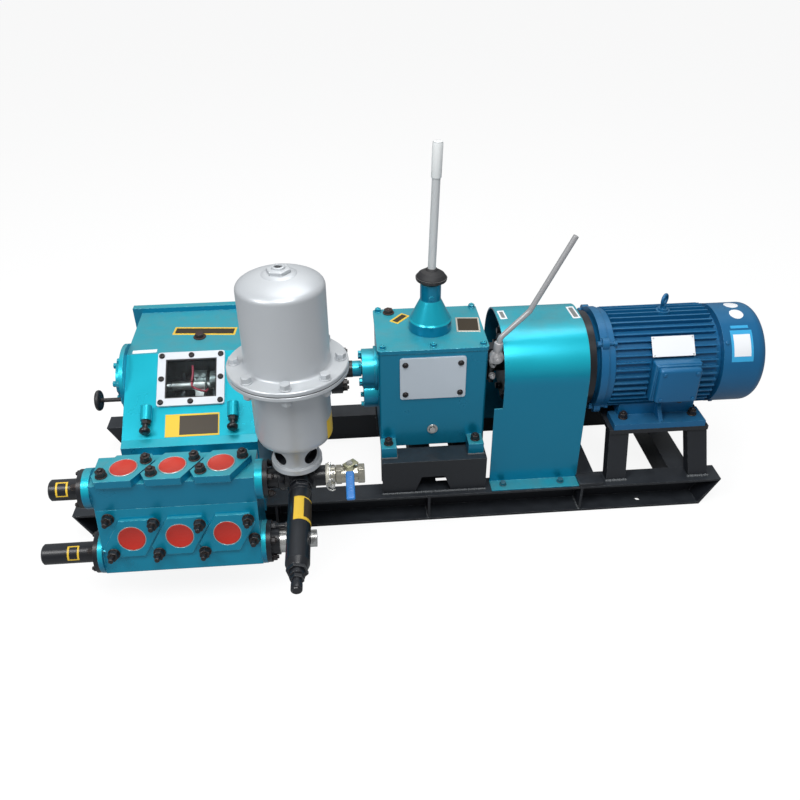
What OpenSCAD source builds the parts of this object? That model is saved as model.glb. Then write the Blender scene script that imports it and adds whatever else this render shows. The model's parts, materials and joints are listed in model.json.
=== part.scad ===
// Triplex plunger mud pump set on a steel skid: pump, gearbox, clutch guard and motor.
// X runs along the skid towards the motor, Y away from the fluid end, Z up.
// The origin is on the floor, midway between the four anchor holes of the skid.

/* [Skid] */
// Overall length of the skid along its top flanges
skid_length = 1634; // [1560:1:1800]
// Overall width over both rails
skid_width = 430; // [420:1:470]
// Height of the channel rails
rail_height = 80; // [70:1:100]
// Depth of a channel rail, from its web to the tips of its flanges
rail_depth = 58; // [50:1:65]
// Plate thickness of the rails
rail_wall = 6; // [4:0.5:8]
// Length by which each sled end slopes inwards to the floor
sled_slope = 44; // [20:1:60]
// Spacing of the anchor holes along the skid
anchor_span_x = 1234; // [1180:1:1300]
// Diameter of the anchor holes
anchor_hole_d = 14; // [10:0.5:18]
// Width of the cross-members between the rails
cross_member_w = 56; // [40:1:64]

/* [Shaft line] */
// Height of the common shaft line above the floor
shaft_z = 352; // [350:1:360]
// Offset of the common shaft line from the middle of the skid
shaft_y = -31; // [-40:1:-20]
// Radial running clearance of every shaft in its bore
run_clear = 0.05; // [0.02:0.01:0.1]
// Diameter of the coupling shaft
coupling_shaft_d = 32; // [25:1:40]
// Outer diameter of the coupling discs
coupling_disc_d = 120; // [90:1:130]
// Outer diameter of the hub at the gearbox side of the coupling
coupling_hub_d = 40; // [36:1:60]

/* [Power end] */
// Middle of the pump along the skid
pump_x = -499; // [-510:1:-495]
// Spacing of the three cylinders
cylinder_pitch = 100; // [96:1:104]
// Width of the crankcase
crankcase_w = 312; // [300:1:330]
// Height of the top face of the crankcase
crankcase_top_z = 424; // [415:1:435]
// Front edge of the top face, measured from the middle of the skid
top_front_y = -36; // [-45:1:-25]
// Height of the lower end of the sloping front face
slope_foot_z = 298; // [285:1:305]
// Position of the lower end of the sloping front face
slope_foot_y = -213; // [-220:1:-200]
// Position of the vertical front face
crankcase_front_y = -234; // [-245:1:-228]
// Position of the rear face of the crankcase body
crankcase_rear_y = 166; // [150:1:175]
// Width by which the rear rim stands out all round
rim_lip = 22; // [14:1:28]
// Width of the inspection window frame
window_w = 158; // [150:1:170]
// Height of the inspection window frame along the slope
window_h = 138; // [130:1:146]
// Width of the border of the window frame
window_border = 19; // [14:1:24]
// Thickness of the window frame
window_t = 8; // [5:0.5:10]
// Diameter of the side bearing covers
bearing_cover_d = 112; // [100:1:120]
// Diameter of the cast seat under the left bearing cover
bearing_seat_d = 176; // [150:1:184]
// Diameter of the handwheel at the left side
handwheel_d = 50; // [44:1:60]

/* [Fluid end] */
// Half length of the upper and lower fluid blocks
block_half_l = 168; // [165:1:172]
// Thickness of the round pads at the ends of the upper block
end_pad_t = 16; // [10:1:20]
// Diameter of the round pads at the ends of the upper block
end_pad_d = 86; // [80:1:90]
// Thickness of the round pads at the ends of the lower block
suction_pad_t = 10; // [6:1:16]
// Diameter of the round pads at the ends of the lower block
suction_pad_d = 94; // [84:1:98]
// Height of the top face of the upper block
block_top_z = 346; // [340:1:350]
// Height of the step between the upper and the lower block
block_step_z = 281; // [276:1:286]
// Height of the underside of the lower block
block_bottom_z = 128; // [120:1:140]
// Position of the front face of the upper block
block_front_y = -436; // [-440:1:-432]
// Position of the rear face of both blocks
block_rear_y = -340; // [-346:1:-334]
// Thickness of the valve cover plates
cover_t = 18; // [12:1:22]
// Diameter of the red valve caps
cap_d = 58; // [50:1:62]
// Lean of the lower front face from the vertical
lower_lean = 10.5; // [6:0.5:13]
// Outer diameter of the plunger housings behind the blocks
plunger_housing_d = 88; // [80:1:92]
// Outer diameter of the left hose stubs
stub_d = 45; // [38:1:51]
// Bore of the left hose stubs
stub_bore_d = 32; // [25:1:36]
// Length of the left discharge stub beyond its flange
upper_stub_l = 64; // [50:1:90]
// Length of the left suction stub beyond its flange
lower_stub_l = 117; // [100:1:150]
// Thickness of the black pipe flanges
pipe_flange_t = 10; // [8:1:14]

/* [Air chamber] */
// Middle of the air chamber along the skid
chamber_x = -241; // [-246:1:-236]
// Diameter of the upper cylinder
chamber_upper_d = 166; // [150:1:176]
// Diameter of the lower vessel
chamber_lower_d = 156; // [140:1:164]
// Diameter of the bolted flanges
chamber_flange_d = 236; // [220:1:250]
// Thickness of each bolted flange
chamber_flange_t = 10; // [8:0.5:14]
// Height of the joint between the two bolted flanges
chamber_joint_z = 591; // [570:1:610]
// Height of the top edge of the upper cylinder
chamber_shoulder_z = 755; // [720:1:780]
// Rise of the domed top
chamber_dome = 30; // [20:1:40]
// Diameter of the foot ring of the chamber
chamber_foot_d = 103; // [96:1:120]

/* [Relief valve] */
// Outer diameter of the relief valve
relief_d = 47; // [42:1:50]
// Distance of the front end of the relief valve from the pipe axis
relief_l = 326; // [305:1:345]

/* [Outlet valve] */
// Diameter of the ball valve body
ball_valve_d = 31; // [26:1:36]
// Length of the ball valve body
ball_valve_l = 63; // [56:1:72]
// Bore of the ball valve
ball_valve_bore_d = 20; // [15:1:22]
// Length of the ball valve handle from its stem
valve_handle_l = 112; // [90:1:130]
// Diameter of the ball valve stem
valve_stem_d = 9; // [7:0.5:11]

/* [Gearbox] */
// Left face of the gearbox
gearbox_x = -54; // [-60:1:-48]
// Length of the gearbox along the skid
gearbox_l = 260; // [250:1:264]
// Width of the gearbox across the skid
gearbox_w = 212; // [200:1:220]
// Height of the underside of the gearbox
gearbox_bottom_z = 184; // [182:1:190]
// Height of the top face of the gearbox
gearbox_top_z = 459; // [450:1:470]
// Height of the top of the gearbox support
support_top_z = 178; // [170:1:182]
// Diameter of the left bearing housing
output_housing_d = 98; // [90:1:104]
// Length of the left bearing housing
output_housing_l = 37; // [30:1:42]
// Width of the inspection plate on the front of the gearbox
inspection_w = 158; // [130:1:180]
// Height of the inspection plate
inspection_h = 113; // [90:1:118]
// Base diameter of the gear shift housing
shift_base_d = 104; // [90:1:110]
// Neck diameter of the gear shift housing
shift_neck_d = 50; // [46:1:54]
// Height of the gear shift pivot
shift_pivot_z = 548; // [540:1:556]
// Height of the tip of the gear shift lever
shift_tip_z = 908; // [860:1:960]
// Diameter of the gear shift rod
shift_rod_d = 19; // [16:1:20]

/* [Clutch and guard] */
// Gap between the gearbox and the lower part of the guard
guard_gap = 15; // [12:1:18]
// Length of the guard along the skid
guard_l = 226; // [210:1:230]
// Half width inside the guard
guard_r = 141; // [136:1:146]
// Height of the top inside the guard
guard_top_z = 478; // [474:1:486]
// Radius of the two upper bends of the guard
guard_bend_r = 117; // [90:1:120]
// Thickness of the guard sheet
guard_t = 3; // [2:0.5:4]
// Width of the notch in the left edge of the guard
guard_notch = 21; // [16:1:26]
// Height of the clutch lever pivot
clutch_pivot_z = 429; // [424:1:434]
// Diameter of the clutch cross shaft
clutch_shaft_d = 18; // [14:1:20]
// Diameter of the clutch lever rod
clutch_rod_d = 13; // [11:1:15]
// Outer diameter of the clutch drum
clutch_drum_d = 196; // [170:1:210]
// Length of the clutch drum
clutch_drum_l = 88; // [70:1:100]

/* [Motor] */
// Shaft height of the motor above its feet
motor_h = 132; // [130:1:134]
// Left end of the finned motor frame
motor_x = 516; // [513:1:520]
// Length of the finned motor frame
motor_frame_l = 252; // [246:1:256]
// Outer diameter over the cooling fins
motor_fin_d = 256; // [250:1:264]
// Depth of the cooling fins
fin_depth = 12; // [8:1:14]
// Thickness of one cooling fin
fin_t = 3.5; // [2.5:0.5:5]
// Number of cooling fins
fin_count = 34; // [24:1:40]
// Outer diameter of the fan cowl
cowl_d = 250; // [244:1:256]
// Length of the fan cowl
cowl_l = 113; // [104:1:122]
// Spacing of the foot bolts along the motor
foot_span_x = 178; // [170:1:186]
// Spacing of the foot bolts across the motor
foot_span_y = 216; // [206:1:226]
// Diameter of the foot bolt holes
foot_hole_d = 12; // [10:0.5:14]
// Width across the side of the terminal box along the motor
terminal_w = 114; // [100:1:124]
// Leg width of the motor stand
stand_leg_w = 50; // [40:1:56]

/* [Hidden] */

$fn = 48;

teal = [0.09, 0.71, 0.80];
frame_black = [0.13, 0.14, 0.16];
silver_grey = [0.69, 0.72, 0.76];
motor_blue = [0.11, 0.33, 0.55];
cap_red = [0.78, 0.25, 0.18];
steel = [0.72, 0.74, 0.76];
pale_plate = [0.69, 0.75, 0.80];
window_white = [0.90, 0.91, 0.92];
rubber_black = [0.08, 0.08, 0.09];
handle_blue = [0.16, 0.37, 0.71];

eps = 0.01;
bend_lap = 1;
bend_swell = 0.4;

// Skid
rail_inner_y = skid_width / 2 - rail_depth;
sled_bottom_l = skid_length - 2 * sled_slope;
anchor_y = rail_inner_y + rail_depth / 2;
gusset_t = 6;
gusset_places = [-322, 62, 454];
cross_member_h = 72;
cross_member_wall = 6;
cross_places = [-700, -330, 57, 178, 470, 727];

// Power end
pump_left = pump_x - crankcase_w / 2;
pump_right = pump_x + crankcase_w / 2;
slope_angle = atan2(crankcase_top_z - slope_foot_z, top_front_y - slope_foot_y);
slope_l = norm([crankcase_top_z - slope_foot_z, top_front_y - slope_foot_y]);
rim_t = 20;
rim_flare = 14;
ledge_drop = 8;
window_s = slope_l - window_h / 2 - 2;
window_open_w = window_w - 2 * window_border;
window_open_h = window_h - 2 * window_border;
window_pocket = 96;
cover_plate_t = 12;
boss_s = 42;
boss_d = 26;
boss_l = 36;
boss_rise = 11.3;
knob_tilt = 12;
bearing_cover_t = 38;
bearing_seat_t = 10;
left_cover_t = 16;
stem_d = 10;
handwheel_y = -100;
handwheel_z = 339;
handwheel_t = 12;
stem_bush_l = 14;
stem_l = 54;

// Fluid end
pipe_y = -401;
pipe_z = 314;
suction_y = -424;
suction_z = 156;
pad_half_l = block_half_l + end_pad_t;
suction_half_l = block_half_l + suction_pad_t;
pipe_flange_d = end_pad_d - 3;
suction_flange_d = suction_pad_d - 2;
block_d = block_rear_y - block_front_y;
cylinder_xs = [for (i = [-1:1]) pump_x + i * cylinder_pitch];
cover_gap = 4;
cover_mid_y = -402;
plunger_z = 214;
cap_rise = 3;
cap_seat = 6;
lower_cap_drop = 68;

// Discharge line
pipe_d = 44;
cross_d = 54;
relief_x = chamber_x + 4;
flange_x = pump_x + pad_half_l;
suction_flange_x = pump_x + suction_half_l;
foot_z = 358;
foot_t = 12;
union_x = -180;
union_l = 16;
valve_x = union_x + union_l;
valve_handle_z = pipe_z + ball_valve_d / 2 + 8;

// Coupling
coupling_left = pump_right + bearing_cover_t;
coupling_right = gearbox_x - output_housing_l;
shaft_seat = 24;

// Gearbox
gearbox_mid_x = gearbox_x + gearbox_l / 2;
foot_pad_l = 38;
foot_pad_w = 42;
foot_pad_h = 30;
gearbox_right = gearbox_x + gearbox_l;
gearbox_front_y = shaft_y - gearbox_w / 2;
inspection_z = gearbox_top_z - 21 - inspection_h;
support_w = 60;
support_wall = 7;
layshaft_drop = 70;
layshaft_cover_d = 80;
shift_x = 79;
shift_shoulder_z = 537;
shift_neck_top_z = shift_pivot_z + 31;
shift_pin_d = 8;
shift_socket_d = 36;
boot_bottom_z = shift_neck_top_z + 6;
boot_top_z = boot_bottom_z + 27;
boot_r = 36.5;
shift_lean = 1.8;
shift_sleeve_l = 77;

// Clutch and guard
clutch_x = gearbox_right + 20;
clutch_arm_y = gearbox_front_y + 3;
clutch_bracket_w = 30;
clutch_bracket_y = gearbox_front_y + 14;
guard_x = gearbox_right + guard_gap;
guard_base_z = rail_height;
guard_upper_x = guard_x + guard_notch;
guard_step_z = 306;
guard_lip = 40;
clutch_drum_gap = 58;

// Motor
motor_y = shaft_y;
motor_foot_z = shaft_z - motor_h;
motor_shaft_x = motor_x - 126;
cowl_gap = 15;
motor_core_d = motor_fin_d - 2 * fin_depth;
foot_mid_x = 648;
foot_plate_x = 529;
fin_arc = 262;
eye_x = 658;
terminal_x = 660;
terminal_z = 357;
terminal_h = 104;
terminal_d = 45;
terminal_seat_r = motor_core_d / 2 + 4;
foot_plate_l = 233;
foot_plate_w = 64;
foot_plate_t = 16;
stand_top_t = 12;
stand_left_x = foot_plate_x - 10;
stand_top_l = foot_plate_l + 20;
stand_splay = 15;
stand_leg_d = 32;
stand_leg_t = 6;

// Square outline with round corners
module rounded_square(size, r) {
    translate([r, 0]) square([size.x - 2 * r, size.y]);
    translate([0, r]) square([size.x, size.y - 2 * r]);
    for (x = [r, size.x - r], y = [r, size.y - r]) translate([x, y]) circle(r);
}

// Block centred in X and Y that stands on z = 0
module centred_block(size) {
    translate([-size.x / 2, -size.y / 2, 0]) cube(size);
}

// Cylinder whose axis runs along X, from x = 0 towards +X
module cylinder_x(d, l) {
    rotate([0, 90, 0]) cylinder(d = d, h = l);
}

// Cylinder whose axis runs along Y, from y = 0 towards -Y
module cylinder_y(d, l) {
    rotate([90, 0, 0]) cylinder(d = d, h = l);
}

// Straight round rod between two points
module rod(a, b, d) {
    v = b - a;
    translate(a)
        rotate([0, acos(v.z / norm(v)), atan2(v.y, v.x)])
            cylinder(d = d, h = norm(v));
}

function direction(v) = v / norm(v);
function turn(u, v) = atan2(u.x * v.y - u.y * v.x, u * v);

// Round rod in the XY plane along a line of points, with every corner bent to one radius
module bent_rod(points, bend_r, d) {
    last = len(points) - 1;
    legs = [for (i = [0:last - 1]) direction(points[i + 1] - points[i])];
    turns = [for (i = [0:last]) i == 0 || i == last ? 0 : turn(legs[i - 1], legs[i])];
    trims = [for (t = turns) bend_r * tan(abs(t) / 2)];
    for (i = [0:last - 1]) {
        start = i == 0 ? 0 : trims[i] - bend_lap;
        end = norm(points[i + 1] - points[i]) - (i == last - 1 ? 0 : trims[i + 1] - bend_lap);
        translate(points[i])
            rotate([0, 0, atan2(legs[i].y, legs[i].x)])
                translate([start, 0, 0]) cylinder_x(d, end - start);
    }
    for (i = [1:last - 1]) {
        side = sign(turns[i]);
        leg = legs[i - 1];
        heading = atan2(leg.y, leg.x);
        translate(points[i] - leg * trims[i] + side * bend_r * [-leg.y, leg.x])
            rotate([0, 0, side > 0 ? heading - 90 : heading + 90 + turns[i]])
                rotate_extrude(angle = abs(turns[i]))
                    translate([bend_r, 0]) circle(d = d + bend_swell);
    }
}

// Side outline of a skid rail, in X and Z
module rail_outline(inset) {
    top = skid_length / 2 - inset;
    bottom = sled_bottom_l / 2 - inset;
    polygon([
        [-bottom, inset], [bottom, inset],
        [top, rail_height - inset], [-top, rail_height - inset]
    ]);
}

// Channel rail that opens towards -Y, with its web at y = 0
module channel_rail() {
    difference() {
        rotate([90, 0, 0]) linear_extrude(rail_depth) rail_outline(0);
        translate([0, -rail_wall, 0])
            rotate([90, 0, 0]) linear_extrude(rail_depth) rail_outline(rail_wall);
        for (x = [-1, 1] * anchor_span_x / 2)
            translate([x, -rail_depth / 2, -1]) cylinder(d = anchor_hole_d, h = rail_wall + 2);
    }
    for (x = gusset_places)
        translate([x - gusset_t / 2, -rail_depth + 1, rail_wall - eps])
            cube([gusset_t, rail_depth - rail_wall - 1 + eps, rail_height - 2 * rail_wall + 2 * eps]);
}

module skid_rail_front() {
    color(frame_black) translate([0, -rail_inner_y, 0]) channel_rail();
}

module skid_rail_rear() {
    color(frame_black) translate([0, rail_inner_y, 0]) mirror([0, 1, 0]) channel_rail();
}

// Cross-member between the rail webs, a channel that opens downwards
module cross_member() {
    difference() {
        translate([-cross_member_w / 2, -rail_inner_y, rail_height - cross_member_h])
            cube([cross_member_w, 2 * rail_inner_y, cross_member_h]);
        translate([
            -cross_member_w / 2 + cross_member_wall, -rail_inner_y - 1,
            rail_height - cross_member_h - 1
        ])
            cube([
                cross_member_w - 2 * cross_member_wall, 2 * rail_inner_y + 2,
                cross_member_h - cross_member_wall + 1
            ]);
    }
}

module skid_cross_members() {
    color(frame_black) for (x = cross_places) translate([x, 0, 0]) cross_member();
}

// Folded channel under one row of gearbox feet, with a relief in its outer web
module support_channel(relief) {
    height = support_top_z - rail_height;
    difference() {
        translate([gearbox_x, 0, 0]) cube([gearbox_l, support_w, height]);
        translate([gearbox_x - 1, support_wall, -1])
            cube([gearbox_l + 2, support_w - 2 * support_wall, height - support_wall + 1]);
        if (relief)
            translate([gearbox_mid_x - 3, support_wall + 1, -1])
                rotate([90, 0, 0])
                    linear_extrude(support_wall + 2)
                        polygon([[-47, 0], [47, 0], [29, height / 2 + 1], [-29, height / 2 + 1]]);
    }
}

module gearbox_support() {
    front_y = shaft_y - gearbox_w / 2 - foot_pad_w - 21;
    rear_y = shaft_y + gearbox_w / 2 + foot_pad_w + 21;
    color(frame_black) {
        translate([0, front_y, rail_height]) support_channel(true);
        translate([0, rear_y, rail_height]) mirror([0, 1, 0]) support_channel(false);
    }
}

// Leaning block between two levels, drawn by its outlines seen from the end and from the front
module leaning_block(end_bottom, end_top, front_bottom, front_top, height) {
    intersection() {
        translate([min(front_bottom.x, front_top.x) - 1, 0, 0])
            rotate([90, 0, 90])
                linear_extrude(max(front_bottom.y, front_top.y) - min(front_bottom.x, front_top.x) + 2)
                    polygon([
                        [end_bottom.x, 0], [end_bottom.y, 0], [end_top.y, height], [end_top.x, height]
                    ]);
        translate([0, max(end_bottom.y, end_top.y) + 1, 0])
            rotate([90, 0, 0])
                linear_extrude(max(end_bottom.y, end_top.y) - min(end_bottom.x, end_top.x) + 2)
                    polygon([
                        [front_bottom.x, 0], [front_bottom.y, 0],
                        [front_top.y, height], [front_top.x, height]
                    ]);
    }
}

// One leg of the motor stand, a channel that opens towards the middle and leans both ways
module stand_leg(bottom_x, top_x, bottom_y, top_y) {
    height = motor_foot_z - stand_top_t - rail_height;
    side = top_y > bottom_y ? 1 : -1;
    outer = [bottom_y, top_y];
    inner = outer + side * stand_leg_d * [1, 1];
    open = outer + side * stand_leg_t * [1, 1];
    past = inner + side * [1, 1];
    translate([0, 0, rail_height])
        difference() {
            leaning_block(
                span(outer[0], inner[0]), span(outer[1], inner[1]),
                [bottom_x, bottom_x + stand_leg_w], [top_x, top_x + stand_leg_w], height + eps
            );
            leaning_block(
                span(open[0], past[0]), span(open[1], past[1]),
                [bottom_x + stand_leg_t, bottom_x + stand_leg_w - stand_leg_t],
                [top_x + stand_leg_t, top_x + stand_leg_w - stand_leg_t], height + 1
            );
        }
}

function span(a, b) = a < b ? [a, b] : [b, a];

module motor_stand() {
    half_y = foot_span_y / 2 + 32;
    mid_x = stand_left_x + stand_top_l / 2;
    top_z = motor_foot_z - stand_top_t;
    left = stand_left_x + 2;
    right = stand_left_x + stand_top_l - stand_leg_w;
    color(frame_black) {
        for (x = [[left, left], [right + stand_splay, right]], side = [-1, 1])
            stand_leg(x[0], x[1], side * (rail_inner_y + 38), motor_y + side * (half_y - 6));
        difference() {
            translate([mid_x, motor_y, top_z]) centred_block([stand_top_l, 2 * half_y, stand_top_t]);
            translate([mid_x, motor_y, top_z - 1])
                centred_block([stand_top_l - 100, 2 * half_y - 110, stand_top_t + 2]);
            for (x = [-1, 1] * foot_span_x / 2, y = [-1, 1] * foot_span_y / 2)
                translate([foot_mid_x + x, motor_y + y, top_z - 1])
                    cylinder(d = foot_hole_d, h = stand_top_t + 2);
        }
    }
}

// Side outline of the crankcase, in Y and Z
module crankcase_outline() {
    polygon([
        [crankcase_front_y, rail_height],
        [crankcase_rear_y, rail_height],
        [crankcase_rear_y, crankcase_top_z + 8],
        [top_front_y, crankcase_top_z],
        [slope_foot_y, slope_foot_z],
        [crankcase_front_y, slope_foot_z - ledge_drop]
    ]);
}

// Places its children on the sloping front face, x across, y up the slope, z out of the face
module on_slope(s) {
    translate([pump_x, slope_foot_y, slope_foot_z])
        rotate([slope_angle, 0, 0])
            translate([0, s, 0]) children();
}

module crankcase() {
    color(teal)
        difference() {
            union() {
                translate([pump_left, 0, 0])
                    rotate([90, 0, 90]) linear_extrude(crankcase_w) crankcase_outline();
                translate([pump_left - rim_lip, crankcase_rear_y - eps, rail_height])
                    cube([
                        crankcase_w + 2 * rim_lip, rim_t + eps,
                        crankcase_top_z + rim_lip - rail_height
                    ]);
                translate([pump_left - rim_lip, 0, 0])
                    rotate([90, 0, 90])
                        linear_extrude(crankcase_w + 2 * rim_lip)
                            polygon([
                                [crankcase_rear_y, crankcase_top_z + 7],
                                [crankcase_rear_y + 1, crankcase_top_z + 7],
                                [crankcase_rear_y + 1, crankcase_top_z + rim_lip]
                            ]);
                translate([pump_left - stem_bush_l, handwheel_y, handwheel_z])
                    cylinder_x(stem_d + 12, stem_bush_l + eps);
                on_slope(boss_s) for (i = [-1, 1])
                    translate([i * cylinder_pitch, 0, boss_rise])
                        rotate([-90, 0, 0]) cylinder(d = boss_d, h = boss_l);
            }
            on_slope(window_s)
                translate([-window_open_w / 2, -window_open_h / 2, -window_pocket])
                    cube([window_open_w, window_open_h, window_pocket + 1]);
            translate([pump_left - stem_bush_l - 1, handwheel_y, handwheel_z])
                cylinder_x(stem_d + 2 * run_clear, stem_bush_l + 21);
        }
}

module crankcase_rear_cover() {
    color(teal)
        difference() {
            translate([pump_left - rim_lip + 6, crankcase_rear_y + rim_t, rail_height + 10])
                cube([
                    crankcase_w + 2 * rim_lip - 12, cover_plate_t,
                    crankcase_top_z + rim_lip - rail_height - 18
                ]);
        }
}

module bearing_cover_left() {
    color(teal)
        difference() {
            translate([pump_left - bearing_seat_t, shaft_y, shaft_z]) {
                cylinder_x(bearing_seat_d, bearing_seat_t);
                translate([-left_cover_t, 0, 0]) cylinder_x(bearing_cover_d, left_cover_t + eps);
                translate([-left_cover_t - 4, 0, 0]) cylinder_x(bearing_cover_d - 56, 4 + eps);
            }
            translate([pump_left - bearing_seat_t - left_cover_t - 1, handwheel_y, handwheel_z])
                cylinder_x(stem_d + 12.6, bearing_seat_t + left_cover_t + 2);
            translate([pump_left - bearing_seat_t - left_cover_t - 1, handwheel_y, handwheel_z])
                cylinder_x(handwheel_d - 12, left_cover_t + 1);
        }
}

module bearing_cover_right() {
    color(teal)
        translate([pump_right, shaft_y, shaft_z])
            difference() {
                union() {
                    cylinder_x(bearing_cover_d, 14);
                    translate([14 - eps, 0, 0])
                        cylinder_x(bearing_cover_d - 34, bearing_cover_t - 14 + eps);
                }
                translate([bearing_cover_t - shaft_seat, 0, 0])
                    cylinder_x(coupling_shaft_d + 2 * run_clear, shaft_seat + 1);
            }
}

module window_frame() {
    color(window_white)
        on_slope(window_s)
            difference() {
                translate([-window_w / 2, -window_h / 2, 0])
                    linear_extrude(window_t) rounded_square([window_w, window_h], 6);
                translate([-window_open_w / 2, -window_open_h / 2, -1])
                    cube([window_open_w, window_open_h, window_t + 2]);
            }
}

module window_glass() {
    color([0.35, 0.42, 0.46, 0.5])
        on_slope(window_s)
            translate([-window_open_w / 2, -window_open_h / 2, 0])
                cube([window_open_w, window_open_h, 4]);
}

// Part of the crankshaft and one connecting rod that shows through the window
module crankshaft() {
    color(steel)
        translate([pump_x, 0, 0])
            on_window_floor() {
                translate([-window_open_w / 2, 10, 34]) cylinder_x(22, window_open_w);
                translate([-2, 10, 34]) cylinder_x(44, 26);
                translate([0, -34, 16]) cube([20, 50, 30]);
            }
}

// Places its children on the floor of the window pocket
module on_window_floor() {
    translate([-pump_x, 0, 0])
        on_slope(window_s) translate([0, 0, -window_pocket]) children();
}

// Clamp bolts of the inspection window: hexagon, neck and turned knob
module swing_bolts() {
    color(frame_black)
        on_slope(boss_s)
            for (i = [-1, 1])
                translate([i * cylinder_pitch, 0, boss_rise])
                    rotate([90, 0, 0]) {
                        cylinder(d = 22, h = 9, $fn = 6);
                        translate([0, 0, 4])
                            rotate([-knob_tilt, 0, 0]) {
                                cylinder(d = 13, h = 17);
                                translate([0, 0, 16]) rotate_extrude() knob_outline(26, 15);
                            }
                    }
}

// Half outline of a turned knob with round edges, from z = 0 to h
module knob_outline(d, h) {
    square([d / 2 - h / 2, h]);
    intersection() {
        translate([d / 2 - h / 2, h / 2]) circle(h / 2);
        square([d, h]);
    }
}

module handwheel() {
    color(rubber_black)
        translate([pump_left - stem_bush_l - stem_l, handwheel_y, handwheel_z]) {
            cylinder_x(stem_d, stem_l + stem_bush_l + 18);
            translate([-handwheel_t / 2, 0, 0])
                rotate([0, 90, 0])
                    rotate_extrude() {
                        square([handwheel_d / 2 - handwheel_t / 2, handwheel_t]);
                        translate([handwheel_d / 2 - handwheel_t / 2, handwheel_t / 2])
                            circle(d = handwheel_t);
                    }
        }
}

// Round pads at both ends of a block
module end_pads(y, z, d, t) {
    for (side = [-1, 1])
        translate([pump_x + side * (block_half_l + t / 2), y, z]) {
            translate([-t / 2, 0, 0]) cylinder_x(d, t);
            translate([side > 0 ? -t / 2 - 2 : -t / 2 + 2, 0, 0]) cylinder_x(stub_bore_d + 16, t);
        }
}

module fluid_block_upper() {
    color(teal)
        difference() {
            union() {
                translate([pump_x - block_half_l, block_front_y, block_step_z])
                    cube([2 * block_half_l, block_d, block_top_z - block_step_z]);
                end_pads(pipe_y, pipe_z, end_pad_d, end_pad_t);
            }
            translate([pump_x - pad_half_l - 1, pipe_y, pipe_z])
                cylinder_x(stub_bore_d, 2 * pad_half_l + 2);
        }
}

// Side outline of the lower block, in Y and Z
module lower_outline() {
    lean = (block_step_z - block_bottom_z) * tan(lower_lean);
    polygon([
        [block_front_y - lean, block_bottom_z],
        [block_rear_y, block_bottom_z],
        [block_rear_y, block_step_z],
        [block_front_y, block_step_z]
    ]);
}

module fluid_block_lower() {
    color(teal)
        difference() {
            union() {
                translate([pump_x - block_half_l, 0, 0])
                    rotate([90, 0, 90]) linear_extrude(2 * block_half_l) lower_outline();
                end_pads(suction_y, suction_z, suction_pad_d, suction_pad_t);
            }
            translate([pump_x - pad_half_l - 1, suction_y, suction_z])
                cylinder_x(stub_bore_d, 2 * pad_half_l + 2);
        }
}

module plunger_housings() {
    color(teal)
        for (x = cylinder_xs)
            translate([x, crankcase_front_y, plunger_z])
                cylinder_y(plunger_housing_d, crankcase_front_y - block_rear_y);
}

// Long six-sided outline of a valve cover plate
module cover_outline() {
    half = cylinder_pitch / 2;
    polygon([
        [-half - 11, -22], [-half, -44], [half - 28, -44],
        [half + 11, 22], [half, 44], [-half + 28, 44]
    ]);
}

module valve_cover() {
    difference() {
        linear_extrude(cover_t) cover_outline();
        translate([0, 0, cover_t - cap_seat]) cylinder(d = cap_d + 1, h = cap_seat + 1);
    }
}

module discharge_covers() {
    color(teal)
        for (x = cylinder_xs) translate([x, cover_mid_y, block_top_z]) valve_cover();
}

module discharge_caps() {
    color(cap_red)
        for (x = cylinder_xs)
            translate([x, cover_mid_y, block_top_z + cover_t - cap_seat])
                cylinder(d = cap_d, h = cap_seat + 1);
}

// Places its children on the leaning front face of the lower block
module on_lower_face() {
    translate([0, block_front_y, block_step_z])
        rotate([90 - lower_lean, 0, 0]) children();
}

module suction_covers() {
    color(teal)
        on_lower_face()
            for (x = cylinder_xs)
                translate([x, -lower_cap_drop, 0])
                    difference() {
                        linear_extrude(8) cover_outline();
                        translate([0, 0, 8 - cap_seat]) cylinder(d = cap_d + 1, h = cap_seat + 1);
                    }
}

module suction_caps() {
    color(cap_red)
        on_lower_face()
            for (x = cylinder_xs)
                translate([x, -lower_cap_drop, 8 - cap_seat]) cylinder(d = cap_d, h = cap_seat - 2);
}

// Round flange and hose stub with a chamfered end towards -X
module left_stub(l, flange_d) {
    difference() {
        union() {
            translate([-pipe_flange_t, 0, 0]) cylinder_x(flange_d, pipe_flange_t);
            translate([-pipe_flange_t - l + 3, 0, 0]) cylinder_x(stub_d, l - 3 + eps);
            translate([-pipe_flange_t - l, 0, 0])
                rotate([0, 90, 0]) cylinder(d1 = stub_d - 6, d2 = stub_d, h = 3 + eps);
        }
        translate([-pipe_flange_t - l - 1, 0, 0]) cylinder_x(stub_bore_d, l + pipe_flange_t + 2);
    }
}

module discharge_stub() {
    color(frame_black)
        translate([pump_x - pad_half_l, pipe_y, pipe_z]) left_stub(upper_stub_l, pipe_flange_d);
}

module suction_stub() {
    color(frame_black)
        translate([pump_x - suction_half_l, suction_y, suction_z])
            left_stub(lower_stub_l, suction_flange_d);
}

module discharge_flange() {
    color(frame_black)
        translate([flange_x, pipe_y, pipe_z])
            difference() {
                cylinder_x(pipe_flange_d, pipe_flange_t);
                translate([-1, 0, 0]) cylinder_x(stub_bore_d, pipe_flange_t + 2);
            }
}

module suction_end_flange() {
    color(frame_black)
        translate([suction_flange_x, suction_y, suction_z]) {
            cylinder_x(suction_flange_d, pipe_flange_t);
            translate([pipe_flange_t - eps, 0, 0]) cylinder_x(62, 18);
        }
}

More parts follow.
